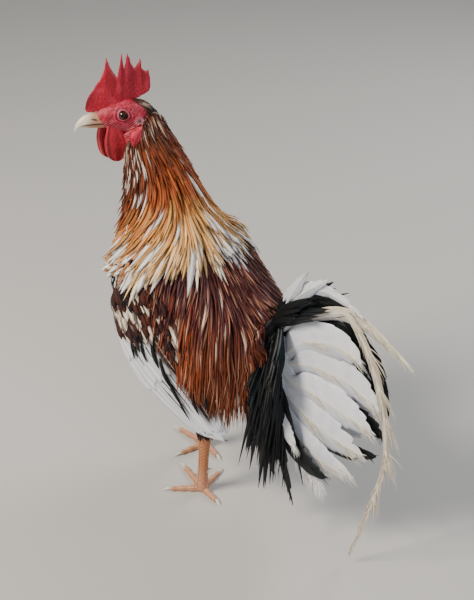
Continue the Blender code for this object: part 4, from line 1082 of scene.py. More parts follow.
# %% Hackle colours
luck = chance(row.shape)
along = np.linspace(0, 1, HACKLE_STATIONS)
shown = white[:, None] * 0.92 * (1 - throat[:, None] * ease(0.55 - along, 0.0, 0.2))
tone = neck_colour(rows, turns, luck[:, None], shown)
tone = tone * np.interp(row, [6.0, 8.6], [0.62, 1.0])[:, None, None]
dark = 0.75 * (rng.uniform(0, 1, row.shape) < 0.62) * ease(6.9 - row, 0.0, 0.8) * (1 - white) + 0.62 * throat
spine = ease(0.30 - np.abs(turn + 0.02), 0.0, 0.1)
cape = 0.7 * (1 - white) * (rng.uniform(0, 1, row.shape) < 0.5) * spine * ease(row, 8.6, 9.0)
dark = np.maximum(dark, cape)
tone = mix(tone, "24110B", np.clip(dark, 0, 0.85)[:, None] * (1 - shown))
orange = (rng.uniform(0, 1, row.shape) < 0.32) * (1 - white) * ease(row, 8.8, 9.4) * ease(off, 0.9, 1.5)
tone = mix(tone, EMBER, orange[:, None] * (1 - 0.25 * along))
spotted = (rng.uniform(0, 1, row.shape) < 0.16) * ease(row, 8.6, 9.4)
tone = mix(tone, "180E0B", 0.85 * spotted[:, None] * np.exp(-((along - 0.86) / 0.07) ** 2))
tone = tone * np.exp(chance(row.shape, 0.20) * (1 - 0.6 * white))[:, None, None]
section = blades(path, out, half, 0.00035)
tint = shaded(tone, 0.74, 1.14, 0.45)
barbs, bake = tuft_maps(half, length, bake_place(row, turn))
first = row < 8.6
plumes("hackle_upper", section[first], tint[first], barbs[first], bake[first], hackle_paint)
plumes("hackle_lower", section[~first], tint[~first], barbs[~first], bake[~first], hackle_paint)

# %% [markdown]
# Saddle feathers grow across the back and fall over the flanks like a fringe, maroon near the spine,
# rust-orange on the flank, with tan tips. A sheet of cloth would end in a clean line. So each strand is
# first laid at full length and then shortened by how far it hangs past the fringe's slanting line.

# %% Saddle
SADDLE_STATIONS = 11
SADDLE_WAY = np.array([0.3, 0.0, -1.0])
FLANK_WAY = np.array([-0.06, 0.0, -1.0])
# In millimetres along the bird: behind this the strands would lie over the tail
SADDLE_END = 106
# The fringe ends on a slanting line over the wing's white band: places along the bird, and heights
FRINGE_AT, FRINGE_LOW = (10, 32, 61, 90, 126), (220, 178, 153, 131, 124)
# Lengths by row in millimetres
SADDLE_ROWS, SADDLE_LONG = (10.5, 11.5, 12.2, 13, 14.2, 14.9, 15.5, 16.2), (46, 57, 73, 98, 138, 104, 60, 44)


def saddle_way(row, turn, down, around):
    """Along the back beside the spine, and straight down over the flank."""
    flank = ease(np.abs(turn), 0.25, 0.9)[:, None]
    return SADDLE_WAY * (1 - flank) + FLANK_WAY * flank + 0.6 * down * (1 - flank)


row, turn = roots(10.4, 16.2, 0.0062, 0.0042, high=1.25)
length = np.interp(row, SADDLE_ROWS, MM * np.array(SADDLE_LONG))
length = length * np.exp(chance(row.shape, 0.12))
lift = MM * np.interp(row, [10.5, 13, 17.4], [4.5, 7.5, 6.0]) * np.exp(chance(row.shape, 0.22))
whole = flow(row, turn, length, SADDLE_STATIONS, saddle_way, lift, wing_cover(9.5 * MM))[0]
over = whole[:, -1, 0] - MM * SADDLE_END
reach = whole[:, -1, 0] - whole[:, 0, 0] + 1e-6
length = length * np.where(over > 0, np.clip(1 - 1.1 * over / reach, 0.22, 1), 1)
fringe = np.interp(whole[:, -1, 0] / MM, FRINGE_AT, FRINGE_LOW) + chance(row.shape, 7)
under = MM * fringe - whole[:, -1, 2]
length = np.where((over <= 0) & (under > 0), np.maximum(length - under, 0.3 * length), length)
path, out, rows, turns = flow(row, turn, length, SADDLE_STATIONS, saddle_way, lift, wing_cover(9.5 * MM))
across = unit(np.cross(out, np.gradient(path, axis=1)))
bend = chance(row.shape, 0.05)[:, None] * length[:, None] * np.linspace(0, 1, SADDLE_STATIONS) ** 2
path = path + across * bend[..., None]
width = MM * 4.0 * np.exp(chance(row.shape, 0.25))
half = width[:, None] / 2 * leaf_shape(SADDLE_STATIONS, 0.40, 0.45, 1.25)[None]
share = np.linspace(0, 1, SADDLE_STATIONS)
below = path[..., 2] * -1 + 0.30 + 0.02 * chance(row.shape)[:, None]
below = below - 0.35 * np.maximum(path[..., 0] - 0.02, 0)
flank = ease(below, 0.0, 0.05)
tone = mix(mix(MAROON, PLUM, ease(chance(row.shape), -0.3, 1.2))[:, None] + 0 * path, ORANGE, flank)
rearward = ease(path[..., 0], 0.045, 0.085)
tone = mix(tone, "552612", 0.6 * rearward * flank)
tone = mix(tone, TAN, 0.6 * (rng.uniform(0, 1, row.shape) < 0.28)[:, None] * ease(share, 0.45, 0.9))
pale = (rng.uniform(0, 1, row.shape) < 0.06)[:, None] * ease(share, 0.1, 0.3) * ease(0.75 - share, 0.0, 0.2)
tone = mix(tone, "DDBBA2", pale)
tone = tone * np.exp(chance(row.shape, 0.25))[:, None, None]
section = blades(path, out, half, 0.00035)
tint = shaded(tone, 0.80, 1.25, 0.45)
barbs, bake = tuft_maps(half, length, bake_place(row, turn))
plumes("saddle_fringe", section, tint, barbs, bake, hackle_paint)

# %% [markdown]
# Breast, belly and rump wear short rounded feathers like roof tiles, black and white on the breast and
# black behind. Most are hidden by the wings and the saddle, and a bump map would do for those. But the
# breast shows in the outline, so one even coat covers all of the lower body.

# %% Body feathers
BODY_STATIONS = 6
row, turn = roots(9.0, 18.85, 0.0085, 0.0075, low=0.0)
off = np.abs(turn)
kept = (off > 1.25) | (row > 16.2)
row, turn, off = row[kept], turn[kept], off[kept]
length = MM * np.interp(row, [9, 11, 16, 18.8], [24, 27, 30, 26]) * np.exp(chance(row.shape, 0.12))
lift = MM * 2.6 * np.exp(chance(row.shape, 0.2))
path, out, rows, turns = flow(row, turn, length, BODY_STATIONS, along_body, lift, wing_cover(0.0))
half = (MM * 5.2 * np.exp(chance(row.shape, 0.15)))[:, None] * leaf_shape(BODY_STATIONS, 0.6, 0.6, 2.4)[None]
likely = 0.55 * ease(off, 1.6, 2.0) * ease(13.0 - row, 0.0, 1.5)
white = (rng.uniform(0, 1, row.shape) < likely).astype(float)
tone = torso_colour(rows, turns, path, chance(row.shape)[:, None], white[:, None])
tone = mix(tone, INK, ease(row, 15.4, 16.6)[:, None] + 0 * rows)
tone = tone * np.exp(chance(row.shape, 0.18))[:, None, None]
section = blades(path, out, half, 0.0003, 0.22)
tint = shaded(tone, 0.9, 1.1, 0.6)
barbs, bake = tuft_maps(half, length, bake_place(row, turn))
plumes("body_coat", section, tint, barbs, bake, down_paint)

# %% [markdown]
# The thighs' feathers are brown-black and get shorter towards the hock. The thigh isn't part of the
# body's surface, so they can't walk over it. Its own tapered tube is simple enough: each feather follows
# it from a random place, and hangs on past its end.

# %% Thigh feathers
THIGH_NUMBER = 460
for side in SIDES:
    share = rng.uniform(0.12, 0.93, THIGH_NUMBER)
    turn = rng.uniform(-math.pi, math.pi, THIGH_NUMBER)
    length = MM * np.interp(share, [0, 0.8, 1], [26, 18, 9])
    gone = np.linspace(0, 1, BODY_STATIONS)
    hang = share[:, None] + gone * (length / 0.1)[:, None]
    rise = MM * (0.4 + 2.6 * gone)[None] * np.exp(chance(share.shape, 0.2))[:, None]
    path = thigh_point(side, hang, turn[:, None], rise)
    path[..., 2] -= np.maximum(hang - 1, 0) * 0.1
    higher = thigh_point(side, hang, turn[:, None], rise + 0.004)
    out = unit(higher - thigh_point(side, hang, turn[:, None], rise))
    wide = MM * np.interp(share, [0, 0.8, 1], [4.6, 3.4, 2.2])
    half = wide[:, None] * leaf_shape(BODY_STATIONS, 0.6, 0.6, 2.4)[None]
    tone = mix(MAHOGANY, SOOT, rng.uniform(0, 1, share.shape))[:, None] + 0 * path
    tint = shaded(tone, 0.9, 1.2, 0.6)
    spot = np.stack([0.1 + 0.8 * (turn / math.pi + 1) / 2, 0.1 + 0.8 * share], -1)
    barbs, bake = tuft_maps(half, length, spot)
    plumes(f"thigh_coat_{side}", blades(path, out, half, 0.0003, 0.22), tint, barbs, bake, down_paint)

# %% [markdown]
# The folded wing lies flat on the flank. It could be a solid shield with feathers drawn on it, but quills
# are seen edge by edge. So the wing is a surface without a mesh of its own, given by p from the wrist to
# the tip and q from the upper to the lower edge, and each quill is laid on it.

# %% Wing surface
# Places on the upper and the lower edge: x, z and distance from the bird's middle, in millimetres
WING_UPPER = MM * np.array([(-46, 334, 52), (4, 298, 60), (46, 236, 62), (74, 168, 56), (86, 122, 50)])
WING_LOWER = MM * np.array([
    (-88, 250, 50), (-69, 192, 60), (-36, 153, 64), (8, 126, 62), (46, 109, 57), (83, 112, 50),
])
WING_BULGE = 9 * MM


def trunk_width(x, z):
    """Half-width of the trunk at places seen from the side, 0 where the line of sight misses it."""
    rib = smooth(RIBS, np.linspace(1.8, 11.0, 300))
    back, front = rib[:, [0, 1]], rib[:, [2, 3]]
    middle, half = (back + front) / 2, np.linalg.norm(back - front, axis=1) / 2
    up = unit(back - front)
    dx, dz = x[..., None] - middle[:, 0], z[..., None] - middle[:, 1]
    reach = (dx * up[:, 0] + dz * up[:, 1]) / half
    best = (np.abs(dx * up[:, 1] - dz * up[:, 0]) + 0.02 * (np.abs(reach) > 1)).argmin(axis=-1)
    v = np.take_along_axis(reach, best[..., None], -1)[..., 0]
    return rib[best, 4] * np.sqrt(np.clip(1 - v ** 2, 0, 1))


def wing_point(p, q, height, side):
    """A point of the folded wing; it keeps clear of the trunk by a smooth maximum of eighth powers."""
    p, q, height = np.broadcast_arrays(p, q, height)
    upper = smooth(WING_UPPER, p * (len(WING_UPPER) - 1))
    lower = smooth(WING_LOWER, p * (len(WING_LOWER) - 1))
    flat = upper + (lower - upper) * q[..., None]
    own = flat[..., 2] + WING_BULGE * np.sin(math.pi * np.clip(q, 0, 1))
    out = (own ** 8 + (trunk_width(flat[..., 0], flat[..., 1]) + MM) ** 8) ** (1 / 8) + height
    return np.stack([flat[..., 0], (-1 if side == "left" else 1) * out, flat[..., 1]], -1)


tip = wing_point(np.ones(1), np.full(1, 0.5), np.zeros(1), "left")
print("the left wing's tip, in mm from the feet", np.round(tip[0] / MM).tolist())

# %% [markdown]
# Quills are broad vanes with a shaft down the middle, and notches where the barbs have parted. A picture
# with see-through gaps would be light, but has no thickness and no shadow inside. So a vane is a closed
# sheet, eleven points wide, whose edges are drawn in by an uneven saw-tooth: barbs grow longer up to a
# point and then part.

# %% Vanes
# Places across a vane, from edge to edge, with the shaft in the middle
ACROSS = np.array([-1.0, -0.8, -0.5, -0.2, -0.06, 0.0, 0.06, 0.2, 0.5, 0.8, 1.0])


def notched(stations, number, depth, often, first=0.2):
    """Edge shares along feathers: barbs that lengthen to a point and then part, deeper to the tip."""
    s = np.linspace(0, 1, stations)[None]
    waves = ripple(s * often * 0.9, rng.uniform(0, 9, (number, 1)), 0 * s, 1.0)
    beat = s * often + 0.5 * waves + rng.uniform(0, 1, (number, 1))
    tooth = (1 - np.mod(beat, 1.0)) ** 1.6
    big = rng.uniform(0.2, 1.0, (number, 1)) * (0.35 + 0.65 * np.sin(7.3 * np.floor(beat) + 3) ** 2)
    return 1 - depth * tooth * big * ease(s, first, first + 0.4)


def vane_piece(name, top, under, tint, barbs, paint, replaced=()):
    """Vanes as closed sheets; each has an island of its own in OFBake."""
    n, s, c = top.shape[:3]
    place = np.broadcast_to((ACROSS + 1) / 2, (n, s, c))
    wide = (np.arange(n)[:, None, None] + 0.06 + 0.88 * place) / n
    long = np.broadcast_to(0.02 + 0.96 * np.linspace(0, 1, s)[None, :, None], (n, s, c))
    bake = np.stack([wide, long], -1)
    both = [np.concatenate([one, other[:, :, ::-1]], 2) for one, other in
            ((top, under), (tint, tint * 0.85), (barbs, barbs), (bake, bake))]
    return plumes(name, *both, paint, replaced)


print("a vane has", len(ACROSS), "places across, on its upper and on its lower face")

# %% [markdown]
# A folded wing shows its quills in layers like a hand of cards: the long ones lowest, and coverts over
# their roots. Each could be laid by hand, but neighbours are nearly parallel. So a row needs only its
# first and last feather, and the others are spread evenly between them.

# %% Wing quills
# Groups: number, start p and q of the lowest and highest, end p and q of the same two, how much
# wider than its place each is, height in millimetres
WING_GROUPS = [
    (10, (0.28, 0.95), (0.40, 0.50), (1.0, 0.93), (0.95, 0.30), 1.35, 1.4),
    (10, (0.24, 0.88), (0.34, 0.12), (0.80, 0.88), (0.93, 0.12), 1.45, 3.2),
    (9, (0.14, 0.90), (0.18, 0.12), (0.44, 0.91), (0.50, 0.10), 1.45, 5.0),
    (9, (0.05, 0.88), (0.06, 0.16), (0.26, 0.89), (0.30, 0.14), 1.45, 6.6),
]
WING_STATIONS = 44
for side in SIDES:
    tops, unders, tints, marks = [], [], [], []
    for group, (number, start0, start1, end0, end1, wide, height) in enumerate(WING_GROUPS):
        share = np.linspace(0, 1, number)[:, None]
        start = np.array(start0) + (np.array(start1) - start0) * share
        end = np.array(end0) + (np.array(end1) - end0) * share
        s = np.linspace(0, 1, WING_STATIONS)
        p = start[:, [0]] + (end - start)[:, [0]] * s + chance((number, 1), 0.012) * s
        middle = start[:, [1]] + (end - start)[:, [1]] * s
        first, last = start0[1] - start1[1], end0[1] - end1[1]
        place = np.abs(first + (last - first) * s) / (number - 1)
        half = place * wide / 2 * leaf_shape(WING_STATIONS, 0.75, 0.75, 3.0)
        edges = np.stack([notched(WING_STATIONS, number, 0.45, 5), notched(WING_STATIONS, number, 0.30, 4)])
        edge = np.where(ACROSS < 0, edges[0][..., None], edges[1][..., None]) * half[..., None]
        q = middle[..., None] + ACROSS * edge
        arch = 0.9 * (1 - ACROSS ** 2) + 0.5 * np.exp(-(ACROSS / 0.07) ** 2) + 0.9 * ACROSS
        rise = MM * (height + arch + 0.6 * (s[:, None] * chance((number, 1, 1), 0.5)))
        thick = MM * (0.5 - 0.35 * np.abs(ACROSS))
        reach = p[..., None] + 0 * q
        tops.append(wing_point(reach, q, rise, side))
        unders.append(wing_point(reach, q, rise - thick, side))
        grey = mix(SILVER, PEARL, rng.uniform(0, 1, (number, 1)) + 0 * p)
        tone = mix(grey[:, :, None] + 0 * q[..., None], hexed("9CA1AE"), 0.28 * (ACROSS > 0) + 0 * q)
        patchy = ease(ripple(6 * s, 2.6 * share, 0 * s, 3.0 + group), -0.10, 0.15)
        ink = ease(-ACROSS, 0.02, 0.25) * patchy[..., None]
        ink = ink * ease(0.80 - q, 0.0, 0.05) * ease(0.90 - reach, 0.0, 0.05)
        tone = mix(tone, MAHOGANY, ease(0.46 - q, 0.0, 0.12) * ease(0.85 - reach, 0.0, 0.1))
        tone = mix(tone, INK, ink)
        tone = mix(tone, WHITE, 0.6 * np.exp(-(ACROSS / 0.06) ** 2) + 0 * q)
        tints.append(tone)
        run = 130 * (reach - reach[:, :1]) + 13.7 * share[:, :, None]
        marks.append(np.stack([12 * wide * ACROSS + 0 * q, run], -1))
    sheets = [np.concatenate(one) for one in (tops, unders, tints, marks)]
    vane_piece(f"wing_vanes_{side}", *sheets, vane_paint, replaced=(f"wing_{side}",))

# %% [markdown]
# Between the shoulder and the white quills a few black feathers show, each a slim curved sliver. They
# could be dark patches of the quills, but they lie on top and throw a small shadow. There are only nine,
# so a table says where each starts and ends.

# %% Black slivers on the wing
# Start p and q, end p and q, half-width in millimetres
SLIVERS = np.array([
    (0.19, 0.50, 0.31, 0.68, 3.6), (0.21, 0.58, 0.30, 0.75, 2.4), (0.32, 0.34, 0.43, 0.47, 4.0),
    (0.40, 0.38, 0.52, 0.52, 3.4), (0.46, 0.45, 0.64, 0.58, 3.4), (0.54, 0.52, 0.70, 0.63, 2.2),
    (0.63, 0.10, 0.74, 0.18, 4.4), (0.60, 0.30, 0.72, 0.38, 3.0), (0.26, 0.44, 0.36, 0.58, 2.8),
])
SLIVER_STATIONS = 9
s = np.linspace(0, 1, SLIVER_STATIONS)
start_p, start_q, end_p, end_q, wide = (SLIVERS[:, [k]] for k in range(5))
for side in SIDES:
    p = start_p + (end_p - start_p) * s
    q = start_q + (end_q - start_q) * s + 0.03 * np.sin(math.pi * s)
    path = wing_point(p, q, MM * (7.2 + 1.6 * s), side)
    out = unit(wing_point(p, q, MM * (12 + 1.6 * s), side) - path)
    half = MM * wide * leaf_shape(SLIVER_STATIONS, 0.45, 0.4, 1.6)
    tone = hexed("0C0B0E") + 0 * path
    barbs, bake = tuft_maps(half, np.full(len(SLIVERS), 0.04), SLIVERS[:, :2])
    section = blades(path, out, half, 0.0003, 0.15)
    plumes(f"wing_slivers_{side}", section, tone[:, :, None], barbs, bake, down_paint)

# %% [markdown]
# Small coverts clothe the shoulder: mahogany and black, splashed with cream. Even rows would look like a
# fish. So their roots are scattered, the rear ones are made first, and an uneven ripple decides which
# neighbours are cream together.

# %% Shoulder coverts
SHOULDER_NUMBER = 620
for side in SIDES:
    p = rng.uniform(-0.02, 0.40, SHOULDER_NUMBER)
    q = rng.uniform(0.0, 0.86, SHOULDER_NUMBER)
    kept = q < 0.80 - 0.60 * ease(p, 0.03, 0.36)
    order = np.argsort(-p[kept])
    p, q = p[kept][order], q[kept][order]
    length = MM * 21 * np.exp(chance(p.shape, 0.15))
    s = np.linspace(0, 1, BODY_STATIONS)
    run = (length / 0.24)[:, None] * s
    rise = MM * (6.2 + 3.4 * s)[None] * np.exp(chance(p.shape, 0.12))[:, None]
    path = wing_point(p[:, None] + run, q[:, None] + 0.10 * run, rise, side)
    out = unit(wing_point(p[:, None] + run, q[:, None] + 0.1 * run, rise + 0.004, side) - path)
    half = (MM * 5.4 * np.exp(chance(p.shape, 0.15)))[:, None]
    half = half * leaf_shape(BODY_STATIONS, 0.62, 0.6, 2.2)[None]
    patchy = ripple(p * 26, q * 13, 0 * p, 1.0) + chance(p.shape, 0.35)
    tone = mix(MAHOGANY, "4A1C10", rng.uniform(0, 1, p.shape))[:, None] + 0 * path
    tone = mix(tone, "E2D3BE", ease(patchy, 0.25, 0.55)[:, None] * ease(s, 0.1, 0.5))
    tone = mix(tone, INK, ease(-patchy, 0.2, 0.6)[:, None] * ease(s, 0.55, 0.9))
    tint = shaded(tone, 0.9, 1.12, 0.6)
    barbs, bake = tuft_maps(half, length, np.stack([0.1 + 1.8 * p, 0.08 + 0.84 * q], -1))
    plumes(f"shoulder_coat_{side}", blades(path, out, half, 0.0003, 0.22), tint, barbs, bake, down_paint)

# %% [markdown]
# The tail is a fan of broad white vanes with black ones behind them, black hangers at its front, and
# sickles: a white arch on top, a black one below it, and two long cream ones that trail to the ground. A
# fan could be made by turning one feather about the root, but wind and wear have moved each. So a table
# gives a few places that each shaft runs through.

# %% Tail: where its feathers run
# Places along the shaft as x, distance to the side and z in millimetres, width, and kind
SICKLES = [
    ([(123, 3, 267), (126, 4, 292), (138, 6, 312), (160, 7, 329), (184, 9, 336), (211, 12, 333),
      (233, 14, 324)], 18, "white"),
    ([(123, 4, 264), (125, 5, 284), (137, 6, 304), (169, 7, 319), (204, 8, 320), (250, 13, 266),
      (274, 18, 190)], 23, "black"),
    ([(123, 6, 261), (144, 7, 281), (191, 10, 310), (226, 13, 316), (265, 18, 304), (307, 25, 285)],
     16, "cream"),
    ([(123, 10, 258), (154, 12, 293), (195, 14, 313), (222, 16, 316), (263, 23, 255), (285, 32, 168),
      (274, 39, 92), (255, 46, 15)], 9, "cream"),
]
FANNED = [
    ([(123, 5, 254), (179, 12, 275), (244, 24, 271)], 34, "white"),
    ([(123, 6, 252), (192, 14, 242), (259, 27, 233)], 38, "white"),
    ([(123, 7, 250), (194, 17, 212), (273, 30, 206)], 40, "white"),
    ([(123, 7, 248), (198, 19, 182), (277, 33, 168)], 40, "white"),
    ([(123, 8, 246), (196, 24, 159), (262, 36, 150)], 38, "white"),
    ([(123, 9, 245), (188, 28, 132), (249, 39, 122)], 36, "white"),
    ([(123, 9, 244), (173, 28, 130), (216, 42, 83)], 30, "white"),
    ([(123, 10, 252), (149, 21, 182), (187, 45, 87)], 15, "black"),
    ([(123, 10, 250), (143, 28, 146), (211, 47, 106)], 24, "black"),
    ([(123, 11, 252), (131, 21, 175), (177, 50, 54)], 22, "black"),
    ([(123, 12, 252), (114, 25, 176), (151, 54, 91)], 24, "black"),
    ([(121, 13, 253), (106, 28, 188), (122, 57, 120)], 22, "black"),
    ([(119, 10, 262), (124, 26, 236), (128, 33, 196)], 26, "black"),
    ([(119, 8, 262), (140, 22, 244), (152, 30, 208)], 26, "black"),
]
# The near side as the photo shows it: two tips on the arch, the white fan, a wedge and a fluffy end,
# black vanes that show through the fan's gaps, and the black bunch in front of it
NEAR = [
    ([(123, 3, 262), (132, 6, 300), (147, 9, 329), (163, 12, 356)], 14, "white"),
    ([(123, 3, 262), (140, 6, 305), (165, 9, 333), (190, 13, 354)], 15, "white"),
    ([(123, 5, 254), (133, 7, 236), (162, 11, 263), (205, 17, 277), (242, 24, 274)], 42, "white"),
    ([(123, 6, 252), (138, 8, 225), (177, 12, 236), (228, 19, 235), (270, 27, 221)], 44, "white"),
    ([(123, 7, 250), (136, 11, 207), (177, 16, 202), (226, 23, 195), (265, 30, 190)], 43, "white"),
    ([(123, 7, 248), (133, 12, 192), (167, 18, 170), (215, 26, 158), (256, 33, 156)], 42, "white"),
    ([(123, 8, 246), (128, 14, 181), (154, 20, 139), (196, 28, 121), (247, 36, 121)], 40, "white"),
    ([(123, 9, 245), (123, 18, 191), (145, 30, 156), (171, 41, 133)], 20, "white"),
    ([(123, 9, 244), (143, 22, 151), (183, 35, 104), (212, 43, 87)], 16, "white"),
    ([(123, 3, 256), (130, 3, 256), (177, 5, 284), (224, 7, 282), (257, 10, 250), (276, 14, 195)],
     26, "black"),
    ([(123, 4, 254), (138, 5, 237), (195, 9, 247), (240, 13, 235), (272, 18, 214)], 28, "black"),
    ([(123, 4, 252), (140, 7, 211), (199, 12, 200), (245, 16, 190), (276, 20, 180)], 28, "black"),
    ([(123, 5, 250), (136, 10, 177), (178, 15, 146), (227, 20, 141), (270, 24, 154)], 26, "black"),
    ([(123, 11, 252), (112, 12, 243), (130, 19, 202), (156, 30, 161), (190, 50, 92)], 9, "black"),
    ([(123, 12, 252), (106, 15, 220), (121, 24, 172), (148, 38, 118), (180, 55, 59)], 20, "black"),
    ([(123, 12, 250), (102, 18, 205), (119, 33, 147), (150, 53, 90)], 22, "black"),
    ([(123, 13, 250), (99, 22, 206), (108, 38, 160), (122, 57, 120)], 22, "black"),
    ([(123, 10, 250), (118, 16, 196), (153, 30, 137), (189, 40, 115), (218, 46, 113)], 24, "black"),
    ([(123, 8, 262), (104, 12, 238), (106, 24, 196), (120, 36, 164)], 26, "black"),
    ([(123, 7, 262), (111, 11, 240), (123, 20, 211), (143, 32, 183)], 24, "black"),
]
# Two feathers of the arch whose tips stand up from it
ARCH_TIPS = [4, 5]
FAR_SHORTER = 0.84
TAIL_STATIONS = 66
quills = [(places, width, kind, -1, 1.0) for places, width, kind in SICKLES + NEAR]
quills += [(places, width, kind, 1, FAR_SHORTER) for places, width, kind in FANNED]
along = np.linspace(0, 1, TAIL_STATIONS)
path = np.stack([smooth(np.array(places, float), along * (len(places) - 1)) for places, *_ in quills]) * MM
shrink = np.array([share for *_, share in quills])[:, None, None]
path = path[:, :1] + (path - path[:, :1]) * shrink
facing = np.array([side for *_, side, _ in quills], float)
path[..., 1] *= facing[:, None]
wide = MM * np.array([width for _, width, *_ in quills], float)
kinds = np.array([kind for _, _, kind, *_ in quills])
number = len(quills)
sickle = np.arange(number) < len(SICKLES)
print("tail feathers", number, "of them sickles", int(sickle.sum()))

# %% [markdown]
# A vane of the tail stands upright on both sides of its shaft, narrow at the root, and its barbs slant to
# the tip. It could be a flat strip, but real vanes cup and roll and catch light unevenly. So the sheet is
# bent by its distance from the shaft and by a slow ripple along it.

# %% Tail vanes
out = np.zeros_like(path)
out[..., 1] = facing[:, None]
ahead = unit(np.gradient(path, axis=1))
across = unit(np.cross(out, ahead))
up = np.cross(ahead, across)
pointed = sickle | np.isin(np.arange(number), ARCH_TIPS)
shape = np.where(pointed[:, None], leaf_shape(TAIL_STATIONS, 0.5, 0.25, 1.4)[None],
                 leaf_shape(TAIL_STATIONS, 0.58, 0.22, 1.7)[None])
half = wide[:, None] * 0.60 * shape
depth = np.where(kinds == "cream", 0.80, np.where(kinds == "black", 0.60, 0.55))[:, None]
edges = [notched(TAIL_STATIONS, number, depth, often, 0.40) for often in (5, 8)]
edge = np.where(ACROSS < 0, edges[0][..., None], edges[1][..., None]) * half[..., None] * ACROSS
# Barbs of a notch point to the tip, so a vane's edge lies further on than its shaft
swept = 0.55 * np.abs(edge) * ease(along, 0.0, 0.3)[None, :, None] * ease(1 - along, 0.0, 0.10)[None, :, None]
cup = -0.16 * np.abs(edge) * np.abs(ACROSS) + 0.0006 * np.exp(-(ACROSS / 0.07) ** 2)
wave = ripple(9 * along[None], 2.0 * np.arange(number)[:, None], 0 * along[None], 2.0)
roll = 0.0010 * wave[..., None] * ACROSS
middle = path[:, :, None] + across[:, :, None] * edge[..., None] + ahead[:, :, None] * swept[..., None]
tops = middle + up[:, :, None] * (cup + roll + 0.0003)[..., None]
unders = middle + up[:, :, None] * (cup + roll - 0.00025 * (1 - 0.6 * np.abs(ACROSS)))[..., None]
print("widest vane", round(2 * float(np.abs(edge).max()) / MM), "mm")

# %% [markdown]
# White vanes aren't pure white: they are grey near the root, cool on one side of the shaft and creamy at
# the tip. Black ones have a green gloss. A photograph of a feather would bring all this at once, but not
# where it belongs, so the colours follow the place on the vane.

# %% Tail colours
base = {"white": hexed("DEE1E8"), "black": hexed("0A0E10"), "cream": hexed("D9CDB6")}
each = np.arange(number)[:, None, None]
tone = np.stack([base[kind] for kind in kinds])[:, None, None]
tone = tone * np.exp(chance((number, 1, 1, 1), 0.04)) + 0 * tops
pale = np.isin(kinds, ["white", "cream"])[:, None, None]
tone = mix(tone, "AEB4C2", 0.55 * pale * ease(ACROSS * facing[:, None, None], 0.0, 0.9) + 0 * edge)
tone = mix(tone, "B4B9C6", 0.5 * pale * ease(0.45 - along, 0, 0.4)[None, :, None] + 0 * edge)
tone = mix(tone, "E9DFCB", pale * 0.55 * ease(along, 0.75, 1.0)[None, :, None] + 0 * edge)
tone = mix(tone, "F2ECDD", pale * 0.8 * np.exp(-(ACROSS / 0.06) ** 2) + 0 * edge)
streak = ripple(170 * along[None, :, None] + 16 * np.abs(ACROSS), 3.1 * each, 0 * edge, 1.0)
tone = tone * (1 + 0.10 * streak * pale * ease(np.abs(ACROSS), 0.05, 0.3))[..., None]
gloss = ease(ripple(6 * along[None], 1.3 * each[..., 0], 0 * along[None], 4.0), 0.2, 0.9)[..., None]
black = (kinds == "black")[:, None, None]
tone = mix(tone, "14262B", black * 0.6 * gloss * ease(np.abs(ACROSS), 0.1, 0.6))
long = np.linalg.norm(np.diff(path, axis=1), axis=2).sum(1)
run = (long[:, None] * along / MM)[:, :, None] + 0 * edge + 37.0 * each
barbs = np.stack([edge / MM, run], -1)
vane_piece("tail_vanes", tops, unders, tone, barbs, vane_paint, replaced=("tail",))

# %% [markdown]
# The cream sickles and the lower vanes are frayed: single barbs stand off their shafts like the teeth of
# a worn comb. Hair particles would do this in a few clicks, but they aren't part of the mesh. So each is
# a thin curved strand that bends towards the tip, and a table says which feathers fray, where, how far
# and in which colour.

# %% Frayed barbs
FRAY_STATIONS = 6
# The side of a near vane that faces the ground, or the bird where the vane hangs, and the other
LOWER, UPPER = -1.0, 1.0


def fray(name, picks, count, spans, long, thin, tone_code, spread, sides=(LOWER, UPPER)):
    """Strands that leave the shafts of some quills, within spans of their length, and bend to the tip."""
    which = rng.choice(np.array(picks), count)
    spans = np.array(spans)[rng.integers(0, len(spans), count)]
    s = rng.uniform(spans[:, 0], spans[:, 1])
    side = rng.choice(np.array(sides), count)
    at = s * (TAIL_STATIONS - 1)
    low = at.astype(int)
    share = (at - low)[:, None]
    high = np.minimum(low + 1, TAIL_STATIONS - 1)
    start = path[which, low] * (1 - share) + path[which, high] * share
    turned, ways, outs = across[which, low], ahead[which, low], up[which, low]
    length = long * rng.uniform(0.45, 1.0, count) * ease(1.12 - s, 0, 0.35)
    go = np.linspace(0, 1, FRAY_STATIONS)
    sway = spread * np.exp(chance(count, 0.25))
    off = (length * np.sin(sway))[:, None] * (go - 0.30 * go ** 2)
    run = (length * np.cos(sway))[:, None] * (go + 0.15 * go ** 2)
    lift = chance(count, 0.0016)[:, None] * go + 0.0006
    beside = (turned * side[:, None])[:, None] * off[..., None]
    strands = start[:, None] + beside + ways[:, None] * run[..., None]
    strands = strands + outs[:, None] * lift[..., None]
    strands[..., 2] -= (chance(count, 0.002) + 0.003)[:, None] * go ** 2
    strands[..., 2] = np.maximum(strands[..., 2], 0.0022)
    half = thin * np.exp(chance(count, 0.2))[:, None] * leaf_shape(FRAY_STATIONS, 0.3, 0.7, 1.3)[None]
    tone = hexed(tone_code) * np.exp(chance((count, 1, 1), 0.12)) + 0 * strands
    tint = shaded(tone, 0.92, 1.08, 0.7)
    barbs, bake = tuft_maps(half, length, np.stack([(which + 0.5) / number, 0.02 + 0.96 * s], -1))
    section = blades(strands, np.repeat(outs[:, None], FRAY_STATIONS, 1), half, 0.00022, 0.2)
    plumes(name, section, tint, barbs, bake, vane_paint)


